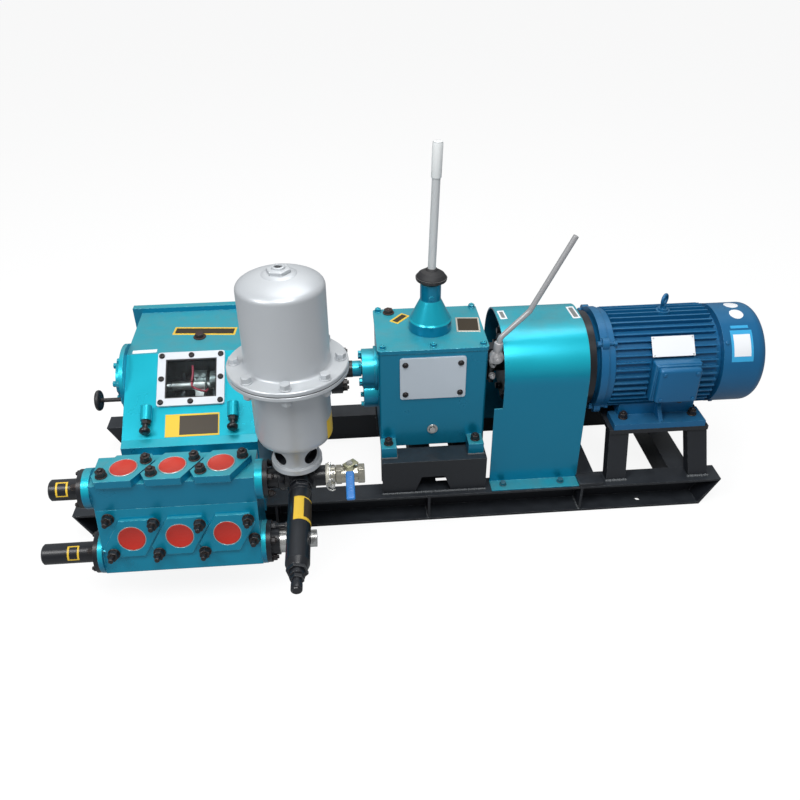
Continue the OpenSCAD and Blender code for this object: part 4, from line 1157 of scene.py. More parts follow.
    def bearing_bolts(self) -> None:
        """Bolts of both bearing covers, left out where the handwheel sits."""
        bolts = Shape()
        y, z = self.shaft
        for i, cos, sin in polar(6, 40.7):
            left = (self.left_x - 26.0, y + 46 * cos, z + 46 * sin)
            bolts.nut(stand_on(left, (-1, 0, 0), i * 9), self.left_bolt)
            right = (self.right_x + 14.0, y + 47.5 * cos, z + 47.5 * sin)
            bolts.nut(stand_on(right, (1, 0, 0), i * 9), self.right_bolt)
        for i, cos, sin in polar(8, 22.5):
            at = (self.left_x - 10.0, y + 74 * cos, z + 74 * sin)
            if max(abs(at[1] - self.handwheel[0]), abs(at[2] - self.handwheel[1])) > 16:
                bolts.nut(stand_on(at, (-1, 0, 0), i * 7), self.left_rim_bolt)
        self.shop.piece("bearing_cover_bolts", bolts, Slot.TEAL)

    def rear_bolts(self) -> None:
        """Bolts round the rear cover."""
        bolts = Shape()
        left, right = self.left_x + 4, self.right_x - 4
        rows = [(left + i * 76.0, z, i * 13) for i in range(5) for z in (106.0, 422.0)]
        columns = [(x, z, z) for z in (185.0, 264.0, 343.0) for x in (left, right)]
        for x, z, spin in rows + columns:
            bolts.nut(stand_on((x, self.rear_y, z), (0, 1, 0), spin), self.rear_bolt)
        self.shop.piece("rear_cover_bolts", bolts, Slot.TEAL)

    def build(self) -> None:
        """Builds and dresses the power end."""
        self.window_screws()
        self.window_gasket()
        self.pocket_lining()
        self.connecting_rods()
        self.top_plug()
        self.plates()
        self.bearing_bolts()
        self.rear_bolts()


@dataclass
class FluidEnd:
    """Studs, nuts, plugs and flange bolts of the fluid end."""

    shop: Workshop
    middle_x: float = -499.0
    pitch: float = 100.0
    cover_y: float = -402.0
    cover_top: float = 364.0
    lean: float = 10.5
    step_y: float = -436.0
    step_z: float = 281.0
    suction_up: float = -68.0
    cover_half: float = 44.0
    cover_t: float = 8.0
    face_studs: tuple[Pair, ...] = (
        (-643, -21), (-549, -32), (-454, -41), (-352, -36),
        (-641, -102), (-546, -106), (-450, -109), (-344, -88),
    )
    upper_axis: Pair = (-401.0, 314.0)
    lower_axis: Pair = (-424.0, 156.0)
    peg_at: Triple = (-311.0, -413.0, 187.5)
    cover_nut: Fastener = Fastener(19.0, 12.0, 2.5, 5.0, 5.5)
    face_nut: Fastener = Fastener(20.0, 13.0, 3.0, 15.0, 5.6)
    flange_nut: Fastener = Fastener(13.0, 8.0, 1.8, 4.0, 4.0)
    flange_head: Fastener = Fastener(13.0, 7.0, 1.8)
    peg_nut: Fastener = Fastener(17.0, 9.0)

    def on_face(self, x: float, up: float, lift: float = 0.0) -> Matrix:
        """Placement on the leaning front face.

        Args:
            x: Place along the skid.
            up: Distance up the face from its top edge.
            lift: Distance out of the face.

        Returns:
            The placement, in millimetres.
        """
        return move(0.0, self.step_y, self.step_z) @ turn(90 - self.lean, "X") @ move(x, up, lift)

    def centres(self) -> list[float]:
        """The three cylinder positions along X."""
        return [self.middle_x + i * self.pitch for i in (-1, 0, 1)]

    def cover_nuts(self) -> None:
        """Studs and nuts of the discharge covers and of the front face."""
        nuts = Shape()
        for i, x in enumerate(self.centres()):
            for dx, dy in ((-39, -25), (43, 19)):
                at = stand_on((x + dx, self.cover_y + dy, self.cover_top), spin=17.0 + 23 * i + dx)
                nuts.nut(at, self.cover_nut)
        for i, (x, up) in enumerate(self.face_studs):
            lift = self.cover_t if self.on_cover(x, up) else 0.0
            nuts.nut(self.on_face(x, up, lift) @ turn(19.0 * i, "Z"), self.face_nut)
        self.shop.piece("valve_cover_nuts", nuts, Slot.BLACK, DARK_HEAD)

    def on_cover(self, x: float, up: float) -> bool:
        """Tells whether a stud stands on a six-sided suction cover.

        Args:
            x: Place of the stud along the skid.
            up: Distance of the stud up the face.

        Returns:
            True where a cover lies under the stud.
        """
        dy = up - self.suction_up
        if abs(dy) >= self.cover_half:
            return False
        left = -61 + max(0.0, dy + 22) * 39 / 66
        right = 61 - max(0.0, 22 - dy) * 39 / 66
        return any(left + 4 < x - middle < right - 4 for middle in self.centres())

    def caps(self) -> None:
        """Red plugs with shallow dished faces, and the pale rims round them."""
        upper, lower, rims = Shape(), Shape(), Shape()
        for x in self.centres():
            top = stand_on((x, self.cover_y, self.cover_top - 6.0))
            front = self.on_face(x, self.suction_up, 1.0)
            for plug, at, r in ((upper, top, 27.2), (lower, front, 28.4)):
                outline = [
                    (0.0, 0.0), (r, 0.0), (r, 6.6), (r - 1.0, 7.4), (r - 2.6, 7.3), (r - 3.6, 6.7),
                    (0.0, 6.4),
                ]
                plug.turned(at, outline, 64)
                edge = [(r, 0.0), (r + 1.9, 0.0), (r + 1.9, 0.9), (r + 1.0, 1.6), (r, 1.6)]
                rims.closed(at @ move(z=5.6), edge, 64)
        self.shop.piece("discharge_plugs", upper, Slot.CAP, smooth=50.0, replaces="discharge_caps")
        self.shop.piece("suction_plugs", lower, Slot.CAP, smooth=50.0, replaces="suction_caps")
        self.shop.piece("plug_rims", rims, Slot.CAP, CAP_RIM)

    def flange_bolts(self) -> None:
        """Bolts through the round flanges, dark nuts outside and painted heads where they show."""
        dark, painted = Shape(), Shape()
        rows = (
            (self.upper_axis, 32.5, -693.0, -667.0, -1), (self.upper_axis, 32.5, -305.0, -331.0, 1),
            (self.lower_axis, 35.5, -687.0, -667.0, -1), (self.lower_axis, 35.5, -311.0, -331.0, 1),
        )
        for (y, z), radius, outside, inside, side in rows:
            lower = (y, z) == self.lower_axis
            for i, cos, sin in polar(4, 45.0):
                py, pz = y + radius * cos, z + radius * sin
                dark.nut(stand_on((outside, py, pz), (side, 0, 0), 11.0 * i), self.flange_nut)
                if py < self.step_y + 2 and not (lower and i == 2):
                    painted.nut(stand_on((inside, py, pz), (-side, 0, 0), 7.0 * i), self.flange_head)
        self.shop.piece("pipe_flange_nuts", dark, Slot.BLACK, DARK_HEAD)
        self.shop.piece("pipe_flange_heads", painted, Slot.TEAL)

    def lifting_peg(self) -> None:
        """Long black flange bolt that stands out on the gearbox side."""
        peg = Shape()
        at = stand_on(self.peg_at, (1, 0, 0))
        peg.drum(at, 7.0, 40.0, 20, bevel=1.0)
        for up in (0, 30):
            peg.nut(at @ move(z=up), self.peg_nut)
        self.shop.piece("long_flange_bolt", peg, Slot.BLACK)

    def stub_rings(self) -> None:
        """Fillet welds and bare marks of the hose stubs and the thread of the plugged nipple."""
        welds, rim, inner, thread = Shape(), Shape(), Shape(), Shape()
        fillet = [(22.0, 0.0), (27.0, 0.0), (25.6, 1.6), (23.6, 3.4), (22.0, 5.4)]
        for (y, z), foot, mark in ((self.upper_axis, -693.0, -741.0), (self.lower_axis, -688.0, -748.0)):
            welds.turned(stand_on((foot, y, z), (-1, 0, 0)), fillet)
            along = along_skid(y, z)
            rim.wrap(along, 22.5, (8.0, 92.0), (mark, mark + 25.0), 0.3)
            inner.wrap(along, 22.8, (16.0, 84.0), (mark + 4.0, mark + 21.0), 0.2)
        self.shop.piece("stub_welds", welds, Slot.BLACK)
        self.shop.piece("stub_mark_rims", rim, Slot.BLACK, YELLOW_FILM)
        self.shop.piece("stub_mark_fields", inner, Slot.BLACK)
        for i in range(9):
            thread.drum(stand_on((-276.0 + i * 4.2, *self.lower_axis), (1, 0, 0)), 17.2, 2.1, top=17.9)
        self.shop.piece("nipple_thread", thread, Slot.BRIGHT)

    def build(self) -> None:
        """Builds and dresses the fluid end."""
        self.cover_nuts()
        self.caps()
        self.flange_bolts()
        self.lifting_peg()
        self.stub_rings()


@dataclass
class Discharge:
    """Relief valve, cross fitting and outlet valve."""

    shop: Workshop
    pipe: Pair = (-401.0, 314.0)
    relief_x: float = -237.0
    relief_r: float = 23.5
    union_x: float = -180.0
    valve_x: float = -164.0
    valve_l: float = 63.0
    stem_x: float = -132.5
    stem_z: float = 326.6
    handle_z: float = 337.5
    handle_nut: Fastener = Fastener(11.0, 4.0, 0.8)
    hook: tuple[Triple, ...] = (
        (-168.0, -423.5, 322.0), (-174.0, -426.0, 319.0), (-180.5, -427.0, 311.0),
        (-182.0, -427.0, 302.0), (-178.0, -427.0, 295.0), (-171.0, -427.0, 292.0),
        (-164.5, -427.0, 295.0),
    )

    def relief_band(self) -> None:
        """Bare two-part band round the relief valve."""
        lying = move(self.relief_x, 0.0, self.pipe[1]) @ turn(90, "X")
        rows = (
            ("relief_band_rim", YELLOW_FILM, 0.0, (-10.0, 114.0), (492.0, 560.0), 0.35),
            ("relief_band_pale", YELLOW_FILM, 0.35, (66.0, 112.0), (494.0, 558.0), 0.25),
            ("relief_band_dark", BROWN_FILM, 0.35, (-7.0, 64.0), (496.0, 552.0), 0.25),
        )
        for name, finish, lift, angles, span, thick in rows:
            band = Shape()
            band.wrap(lying, self.relief_r + lift, angles, span, thick)
            self.shop.piece(name, band, Slot.BLACK, finish)

    def relief_fittings(self) -> None:
        """Hexagons, lock nut and side port of the relief valve."""
        dark, bright = Shape(), Shape()
        y, z = self.pipe
        for start, across, long in ((39.5, 41.0, 9.0), (273.5, 37.0, 8.0), (292.0, 24.0, 9.0)):
            at = stand_on((self.relief_x, y - start, z), (0, -1, 0), 15.0)
            dark.drum(at, across / math.sqrt(3), long, 6, bevel=1.2, steps=1)
        dark.drum(stand_on((self.relief_x, y - 308.0, z), (0, -1, 0)), 11.0, 16.0, 24, bevel=1.6)
        for i in range(3):
            dark.ring(stand_on((self.relief_x, y - 60 - i, z), (0, -1, 0)), 24.1, 20.0, 0.6)
        self.shop.piece("relief_valve_hexagons", dark, Slot.BLACK)
        for i in range(5):
            at = stand_on((-212.5 + i * 2.4, y - 190.0, z), (1, 0, 0))
            bright.drum(at, 12.5, 1.9, 28, bevel=0.4, steps=1)
        self.shop.piece("relief_side_port", bright, Slot.BRIGHT)

    def cross_collars(self) -> None:
        """Collars on the branches of the cross fitting."""
        collars = Shape()
        outline = [(20.0, 0.0), (25.0, 0.0), (26.5, 1.5), (26.5, 10.0), (24.0, 14.0), (20.0, 15.0)]
        for x, way in ((-284.0, 1), (-206.0, -1)):
            collars.turned(stand_on((x, *self.pipe), (way, 0, 0)), outline)
        self.shop.piece("cross_collars", collars, Slot.BLACK)

    def union(self) -> None:
        """Union ring with its lugs and the small hanging hook."""
        nut, ring = Shape(), Shape()
        y, z = self.pipe
        at = stand_on((self.union_x + 1.0, y, z), (1, 0, 0))
        nut.drum(at, 22.6, 6.0, 40, bevel=1.5)
        nut.drum(at @ move(z=8), 22.0, 6.0, 8, bevel=1.2, steps=1)
        for _, cos, sin in polar(3, 40.0):
            foot = (self.union_x + 4.0, y + 20.0 * sin, z + 20.0 * cos)
            nut.slab(stand_on(foot, (0, sin, cos)), (7.0, 6.0, 7.0), 1.5)
        outline = [(21.0, 0.0), (24.4, 0.0), (25.2, 1.2), (25.2, 6.8), (24.4, 8.0), (21.0, 8.0)]
        ring.closed(stand_on((self.union_x - 4.0, y, z), (1, 0, 0)), outline, 56)
        self.shop.piece("union_pale_ring", ring, Slot.BRIGHT, PALE_METAL)
        nut.tube(self.hook, 1.7, 10)
        nut.ring(stand_on((-170.0, -426.0, 304.0), (0, -1, 0)), 5.2, 2.2, 3.0, 24)
        self.shop.piece("union_ring_and_hook", nut, Slot.BRIGHT)

    def valve_body(self) -> None:
        """Barrel, hexagons, thread end and packing nut of the outlet valve."""
        body = Shape()
        y, z = self.pipe
        end = self.valve_x + self.valve_l
        body.drum(
            stand_on((self.valve_x + 4.0, y, z), (1, 0, 0)), 18.6, self.valve_l - 9.0, 48, bevel=2.0, steps=3
        )
        for x, long in ((self.valve_x + 1.0, 13.0), (end - 15.0, 15.0)):
            body.drum(stand_on((x, y, z), (1, 0, 0), 30.0), 21.0, long, 6, bevel=1.2, steps=1)
        body.drum(stand_on((self.stem_x, y, z + 12.0)), 11.5, 7.0, 32, bevel=1.0)
        body.ring(stand_on((end + 0.1, y, z), (-1, 0, 0)), 14.5, 10.5, 1.0)
        self.shop.piece("outlet_valve_hexagons", body, Slot.BRIGHT, NICKEL)

    def handle(self) -> None:
        """Stamped lever, stop plate, stem nut and blue grip of the outlet valve."""
        metal, nut, grip = Shape(), Shape(), Shape()
        x, y, z = self.stem_x, self.pipe[0], self.handle_z
        metal.drum(stand_on((x, y, self.stem_z)), 4.4, 12.0, 20)
        metal.slab(stand_on((x, y - 20.0, z)), (15.0, 54.0, 2.6), 0.8)
        stop = stand_on((x + 2.0, y + 1.0, z + 2.6), spin=38.0)
        metal.slab(stop, (30.0, 19.0, 1.6), 0.5)
        for side in (-1, 1):
            metal.slab(stop @ move(side * 13.5, 0.0, -4.5), (1.8, 17.0, 5.0), 0.5)
        self.shop.piece(
            "valve_handle_bracket", metal, Slot.BRIGHT, ZINC_YELLOW, Body.VALVE, replaces="ball_valve_handle"
        )
        nut.nut(stand_on((x, y, z + 4.0)), self.handle_nut)
        self.shop.piece("valve_handle_nut", nut, Slot.BRIGHT, body=Body.VALVE)
        grip.slab(stand_on((x, y - 69.0, z - 3.2)), (18.0, 88.0, 8.6), 4.0, 5)
        for i in range(6):
            grip.slab(stand_on((x, y - 44.0 - i * 9.0, z + 4.9)), (11.0, 2.6, 1.0), 0.45, 2)
        self.shop.piece("valve_handle_grip", grip, Slot.GRIP, body=Body.VALVE, smooth=50.0)

    def build(self) -> None:
        """Builds and dresses the discharge line."""
        self.relief_band()
        self.relief_fittings()
        self.cross_collars()
        self.union()
        self.valve_body()
        self.handle()


@dataclass
class AirChamber:
    """Smooth shells, flange bolts, plug and bare patch of the air chamber."""

    shop: Workshop
    axis: Pair = (-241.0, -401.0)
    joint_z: float = 591.0
    flange_t: float = 10.0
    flange_r: float = 118.0
    upper_r: float = 83.0
    lower_r: float = 78.0
    shoulder_z: float = 755.0
    circle_r: float = 103.0
    bolts: int = 8
    head: Fastener = Fastener(18.0, 10.0, 2.4)
    nut: Fastener = Fastener(18.0, 11.0, 2.4, 5.0, 5.5)

    def at(self, z: float = 0.0) -> Matrix:
        """Placement on the chamber's axis at a height."""
        return move(*self.axis, z)

    def shells(self) -> None:
        """Turned shells with rounded flange rims, weld fillets and a smooth dome."""
        above, below, seam = Shape(), Shape(), Shape()
        r, q, j, t, f = self.upper_r, self.lower_r, self.joint_z, self.flange_t, self.flange_r
        s = self.shoulder_z
        upper = [
            (0.0, j + 0.4), (f - 1.6, j + 0.4), (f, j + 1.8), (f, j + t - 1.8), (f - 1.8, j + t),
            (r + 6.5, j + t), (r + 3.6, j + t + 1.2), (r + 1.2, j + t + 3.6), (r, j + t + 7.0),
            (r, s + 2.0), (r - 0.3, s + 5.0), (r - 1.5, s + 8.4), (r - 4.0, s + 11.6),
            (r - 8.0, s + 14.6), (r - 13.5, s + 17.6), (r - 22.0, s + 21.4), (r - 33.0, s + 25.0),
            (r - 46.0, s + 27.8), (24.0, s + 29.9), (0.0, s + 30.2),
        ]
        lower = [
            (0.0, 420.0), (q * 0.66, 420.2), (q * 0.78, 421.8), (q * 0.88, 425.4), (q * 0.95, 431.0),
            (q * 0.985, 438.0), (q, 446.0), (q, j - t - 6.0), (q + 1.2, j - t - 3.2),
            (q + 3.4, j - t - 1.1), (q + 6.0, j - t), (f - 1.8, j - t), (f, j - t + 1.8),
            (f, j - 1.8), (f - 1.6, j - 0.4), (0.0, j - 0.4),
        ]
        above.turned(self.at(), upper, 96)
        self.boss(above, s + 30.0)
        below.turned(self.at(), lower, 96)
        for half, shell in (("upper", above), ("lower", below)):
            name, node = f"chamber_{half}_shell", f"air_chamber_{half}"
            self.shop.piece(name, shell, Slot.SILVER, smooth=40.0, replaces=node)
        seam.ring(self.at(j - 0.9), f - 1.0, f - 12.0, 1.8, 96)
        self.shop.piece("chamber_flange_gasket", seam, Slot.BOOT)

    def boss(self, shape: Shape, z: float) -> None:
        """Adds the hexagon boss on the dome.

        Args:
            shape: Shape to add to.
            z: Height of the seat.
        """
        fillet = [(0.0, 0.0), (33.0, 0.0), (29.0, 2.4), (24.0, 3.6), (0.0, 4.0)]
        socket = [
            (0.0, 0.0), (12.5, 0.0), (12.0, 3.6), (10.8, 4.6), (8.2, 4.6), (7.6, 3.4), (7.4, 0.6),
            (0.0, 0.6),
        ]
        shape.turned(self.at(z - 1.5), fillet)
        shape.drum(self.at(z + 1.5) @ Matrix.Rotation(0.3, 4, "Z"), 23.5, 7.5, 6, bevel=2.2, steps=3)
        shape.turned(self.at(z + 8.5), socket, 40)

    def plug(self) -> None:
        """Dark plug inside the boss."""
        plug = Shape()
        plug.drum(self.at(self.shoulder_z + 38.9), 7.2, 2.2, 24, bevel=0.5)
        plug.drum(self.at(self.shoulder_z + 40.8), 3.6, 1.2, 6, bevel=0.3)
        self.shop.piece("chamber_plug", plug, Slot.BLACK)

    def flange_bolts(self) -> None:
        """Bolts through the two flanges, heads above and nuts below."""
        bolts = Shape()
        for i, cos, sin in polar(self.bolts, -90.0):
            x, y = self.axis[0] + self.circle_r * cos, self.axis[1] + self.circle_r * sin
            above = stand_on((x, y, self.joint_z + self.flange_t), spin=i * 11.0)
            below = stand_on((x, y, self.joint_z - self.flange_t), (0, 0, -1), i * 7.0)
            bolts.nut(above, self.head)
            bolts.nut(below, self.nut)
        self.shop.piece("air_chamber_bolts", bolts, Slot.SILVER)

    def foot_details(self) -> None:
        """Weld fillet between the foot and the lower shell, and painted shade: a black inner neck and black
        sleeves and discs inside the foot's openings make them look dark.
        """
        rings, opening_shade = Shape(), Shape()
        fillet = [(49.0, 418.0), (53.0, 418.4), (55.0, 421.0), (54.4, 424.0), (49.0, 424.0)]
        rings.closed(self.at(), fillet, 64)
        rings.ring(self.at(358.0), 52.4, 48.0, 11.4, 72)
        self.shop.piece("chamber_foot_ring", rings, Slot.SILVER)
        opening_shade.drum(self.at(369.0), 24.5, 48.0, 36)
        # Painted shade: a black sleeve and disc inside each opening.
        for i in range(4):
            hole = self.at(392.0) @ turn(45 + 90 * i, "Z") @ move(24.0) @ turn(90, "Y")
            opening_shade.ring(hole, 18.2, 17.1, 19.5, 40)
            opening_shade.drum(hole, 17.6, 2.0, 40)
        self.shop.piece("chamber_opening_shade", opening_shade, Slot.BLACK)

    def patch(self) -> None:
        """Bare yellow patch at the right of the lower shell."""
        patch = Shape()
        patch.wrap(self.at(), self.lower_r, (-29.0, 0.0), (437.0, 480.0), 0.4)
        self.shop.piece("chamber_bare_patch", patch, Slot.SILVER, YELLOW_FILM)

    def build(self) -> None:
        """Builds and dresses the air chamber."""
        self.shells()
        self.plug()
        self.flange_bolts()
        self.foot_details()
        self.patch()


@dataclass
class CouplingDiscs:
    """Bolts and sleeves of the shaft coupling."""

    shop: Workshop
    shaft: Pair = (-31.0, 352.0)
    faces: Pair = (-203.0, -141.0)
    circle_r: float = 47.0
    head: Fastener = Fastener(15.0, 9.0, 2.0)
    nut: Fastener = Fastener(15.0, 10.0, 2.0, 4.0, 4.5)

    def build(self) -> None:
        """Builds the bolts and the rubber sleeves between the discs."""
        bolts, sleeves = Shape(), Shape()
        left, right = self.faces
        for i, cos, sin in polar(6, 12.0):
            spot = (self.shaft[0] + self.circle_r * cos, self.shaft[1] + self.circle_r * sin)
            bolts.nut(stand_on((left, *spot), (-1, 0, 0), 9 * i), self.head)
            bolts.nut(stand_on((right, *spot), (1, 0, 0), 5 * i), self.nut)
            sleeves.drum(stand_on((left + 23.5, *spot), (1, 0, 0)), 9.0, 11.0, 20)
        self.shop.piece("coupling_bolts", bolts, Slot.BLACK, DARK_HEAD, Body.COUPLING)
        self.shop.piece("coupling_sleeves", sleeves, Slot.BOOT, body=Body.COUPLING)


@dataclass
class Gearbox:
    """Bolts, plugs, plates and weld beads of the gearbox."""

    shop: Workshop
    left: float = -54.0
    right: float = 206.0
    front: float = -137.0
    rear: float = 75.0
    top_z: float = 459.0
    pad_z: float = 208.0
    support_z: float = 178.5
    plate_x: Pair = (-4.0, 154.0)
    plate_z: Pair = (325.0, 438.0)
    shaft: Pair = (-31.0, 352.0)
    cover_spots: tuple[Pair, ...] = ((-43, -123), (77, -123), (195, -125), (-43, 66), (77, 66), (196, 68))
    foot_spots: tuple[Pair, ...] = ((-35, -159), (181, -158), (-35, 96), (181, 96))
    vent_at: Pair = (-17.0, 55.0)
    drain_at: Pair = (76.0, 231.0)
    lozenge_at: Pair = (8.7, 22.5)
    cover_plate_at: Pair = (173.0, -25.0)
    cover_bolt: Fastener = Fastener(14.0, 7.0, 1.6, 2.5, 4.0)
    input_bolt: Fastener = Fastener(12.0, 7.0, 1.5)
    lower_bolt: Fastener = Fastener(11.0, 6.0, 1.5)
    foot_bolt: Fastener = Fastener(18.0, 11.0, 3.0, 4.0, 5.5)
    vent_plug: Fastener = Fastener(20.0, 8.0, 0, 2.0, 6.0)
    drain_plug: Fastener = Fastener(15.5, 10.0)

    def cover_bolts(self) -> None:
        """Painted bolts of the top cover and of the left bearing housings."""
        bolts = Shape()
        for i, (x, y) in enumerate(self.cover_spots):
            bolts.nut(stand_on((x, y, self.top_z), spin=17.0 * i), self.cover_bolt)
        y, z = self.shaft
        for i, cos, sin in polar(6, 18.0):
            at = (self.left - 37.0, y + 40 * cos, z + 40 * sin)
            bolts.nut(stand_on(at, (-1, 0, 0), 13 * i), self.input_bolt)
        for i, cos, sin in polar(4, 45.0):
            at = (self.left - 35.0, y + 31 * cos, z - 70 + 31 * sin)
            if math.hypot(at[1] - y, at[2] - z) > 56:
                bolts.nut(stand_on(at, (-1, 0, 0), 13 * i), self.lower_bolt)
        self.shop.piece("gearbox_painted_bolts", bolts, Slot.TEAL)

    def cover_seam(self) -> None:
        """Thin joint line under the top cover."""
        seam = Shape()
        middle = ((self.left + self.right) / 2, (self.front + self.rear) / 2, self.top_z - 11.0)
        seam.slab(stand_on(middle), (self.right - self.left + 1.0, self.rear - self.front + 1.0, 1.2))
        self.shop.piece("gearbox_gasket", seam, Slot.BOOT)

    def foot_bolts(self) -> None:
        """Dark bolts on the four foot pads and weld beads round the front ones."""
        bolts, welds = Shape(), Shape()
        for i, (x, y) in enumerate(self.foot_spots):
            bolts.nut(stand_on((x, y, self.pad_z), spin=21.0 * i), self.foot_bolt)
        self.shop.piece("gearbox_foot_bolts", bolts, Slot.BLACK, DARK_HEAD)
        z = self.support_z
        for x in (-54.0, 162.0):
            welds.bead((x + 2, -180.5, z), (x + 36, -180.5, z), 5.5)
            welds.bead((x + 39, -178.0, z), (x + 39, -142.0, z), 5.0)
        self.shop.piece("foot_pad_beads", welds, Slot.FRAME, WELD)

    def plugs(self) -> None:
        """Vent plug on the cover and drain plug at the front."""
        dark, boss, bright = Shape(), Shape(), Shape()
        vent = stand_on((*self.vent_at, self.top_z), spin=8.0)
        dark.drum(vent, 14.5, 3.0, 32, bevel=0.8)
        dark.nut(vent @ move(z=3), self.vent_plug)
        self.shop.piece("gearbox_vent_plug", dark, Slot.BLACK, BROWN_HEAD)
        drain = stand_on((self.drain_at[0], self.front, self.drain_at[1]), (0, -1, 0))
        boss.closed(drain, [(9.0, -1.0), (13.5, -1.0), (13.5, 2.0), (12.4, 3.0), (9.0, 3.0)], 40)
        self.shop.piece("drain_boss", boss, Slot.BRIGHT)
        bright.nut(drain @ move(z=-2), self.drain_plug)
        self.shop.piece("drain_plug", bright, Slot.BRIGHT)

    def plate_screws(self) -> None:
        """Dark screws of the inspection plate."""
        screws = Shape()
        for x in (self.plate_x[0] + 13.0, self.plate_x[1] - 13.0):
            for z in (self.plate_z[1] - 17.0, self.plate_z[0] + 14.0):
                at = stand_on((x, self.front - 5.0, z), (0, -1, 0))
                screws.drum(at, 7.4, 1.2, 24, bevel=0.3, steps=1)
                screws.button(at @ move(z=1.1), 5.8, 4.2)
        self.shop.piece("inspection_plate_screws", screws, Slot.BLACK, DARK_HEAD)

    def plates(self) -> None:
        """Bare plates on the top cover."""
        border, inner, rim, etched, pins = (Shape() for _ in range(5))
        lozenge = stand_on((*self.lozenge_at, self.top_z), spin=50.0)
        border.slab(lozenge, (52.0, 26.0, 0.6), 0.2, 1)
        inner.slab(lozenge @ move(z=0.6), (42.0, 15.0, 0.3))
        self.shop.piece("cover_lozenge_border", border, Slot.PLATE, YELLOW_FILM)
        self.shop.piece("cover_lozenge_field", inner, Slot.PLATE, BROWN_FILM)
        at = stand_on((*self.cover_plate_at, self.top_z), spin=-5.0)
        rim.slab(at, (58.0, 74.0, 0.9), 0.3, 1)
        etched.slab(at @ move(z=0.9), (50.0, 62.0, 0.25))
        for x, y in corners(26.5, 34.5):
            pins.drum(at @ move(x, y, 0.9), 1.7, 1.0, 12, bevel=0.4)
        self.shop.piece("cover_plate_rim", rim, Slot.PLATE, PALE_METAL)
        self.shop.piece("cover_plate_field", etched, Slot.PLATE, BROWN_FILM)
        self.shop.piece("cover_plate_pins", pins, Slot.BRIGHT)

    def build(self) -> None:
        """Builds and dresses the gearbox."""
        self.cover_bolts()
        self.cover_seam()
        self.foot_bolts()
        self.plugs()
        self.plate_screws()
        self.plates()


@dataclass
class GearShift:
    """Ridges of the boot, pivot covers and sleeve of the gear shift lever."""

    shop: Workshop
    pivot: Triple = (79.0, -31.0, 548.0)
    lean: float = 1.8
    rod_r: float = 9.5
    tip: float = 360.0

    def on_axis(self, up: float) -> Matrix:
        """Placement on the leaning lever at a distance from its pivot."""
        return move(*self.pivot) @ turn(self.lean, "Y") @ move(z=up)

    def build(self) -> None:
        """Builds the boot ridges, the pivot covers and the sleeve."""
        boot, ends, sleeve = Shape(), Shape(), Shape()
        for up, r in ((38.2, 35.9), (41.0, 36.8), (44.6, 37.2)):
            ridge = [(r - 3, 0.0), (r, 0.5), (r + 0.5, 1.3), (r, 2.1), (r - 3, 2.6)]
            boot.closed(self.on_axis(up), ridge, 64)
        collar = [(9.6, 62.0), (14.5, 62.0), (14.8, 64.4), (13.0, 67.0), (11.0, 68.2), (9.6, 68.4)]
        boot.closed(self.on_axis(0), collar)
        self.shop.piece("boot_ridges", boot, Slot.BOOT, body=Body.SHIFT)
        x, y, z = self.pivot
        for side in (-1, 1):
            ends.drum(stand_on((x, y + side * 23.6, z), (0, side, 0)), 6.5, 3.0, 24, bevel=0.8)
        self.shop.piece("pivot_pin_covers", ends, Slot.TEAL)
        r, t = self.rod_r, self.tip
        outline = [
            (r, t - 78), (r + 1.8, t - 78), (r + 2.1, t - 76.5), (r + 2.4, t - 4.0), (r + 1.1, t - 0.4),
            (r - 1.5, t + 0.6), (0.0, t + 0.9), (0.0, t - 2.0), (r, t - 2.0),
        ]
        sleeve.closed(self.on_axis(0), outline)
        self.shop.piece("lever_sleeve", sleeve, Slot.LEVER, PALE_SLEEVE, Body.SHIFT)


@dataclass
class Clutch:
    """Clamp, stay and bolts of the clutch lever."""

    shop: Workshop
    pivot: Triple = (226.0, -134.0, 429.0)
    clamp_bolt: Fastener = Fastener(15.0, 7.0, 1.8, 5.0, 4.5)
    end_nut: Fastener = Fastener(10.0, 5.0, 1.2)
    stay_bolt: Fastener = Fastener(13.0, 7.0, 1.8, 6.0, 4.0)

    def lever_clamp(self) -> None:
        """Clamp bolt and end nut on the lever's hub."""
        clamp = Shape()
        x, y, z = self.pivot
        clamp.nut(stand_on((x, y - 8.0, z), (0, -1, 0), 20.0), self.clamp_bolt)
        clamp.nut(stand_on((x - 9.5, y, z - 12.0), (-1, 0, -0.4), 10.0), self.end_nut)
        clamp.drum(stand_on((x + 1.2, y, z + 16.0), (0.12, 0, 1)), 10.6, 22.0, 28, bevel=1.5)
        self.shop.piece("lever_clamp", clamp, Slot.LEVER, body=Body.CLUTCH)

    def stay(self) -> None:
        """Fixed stay plate, rod and bolts beside the drum."""
        bolts, plate = Shape(), Shape()
        x, _, z = self.pivot
        plate.slab(stand_on((x - 5.0, -112.0, z - 84.0)), (12.0, 8.0, 66.0), 1.5)
        for down in (-30.0, -62.0):
            at = stand_on((x - 4.0, -116.0, z + down), (0, -1, 0), down)
            bolts.nut(at, self.stay_bolt)
        rod = [(x - 3, -112, z - 66), (x - 2, -96, z - 60), (x - 2, -70, z - 44), (x - 2, -60, z - 20)]
        bolts.tube(rod, 4.0)
        self.shop.piece("clutch_stay_bolts", bolts, Slot.LEVER)
        self.shop.piece("clutch_stay", plate, Slot.BLACK)

    def build(self) -> None:
        """Builds and dresses the clutch linkage."""
        self.lever_clamp()
        self.stay()


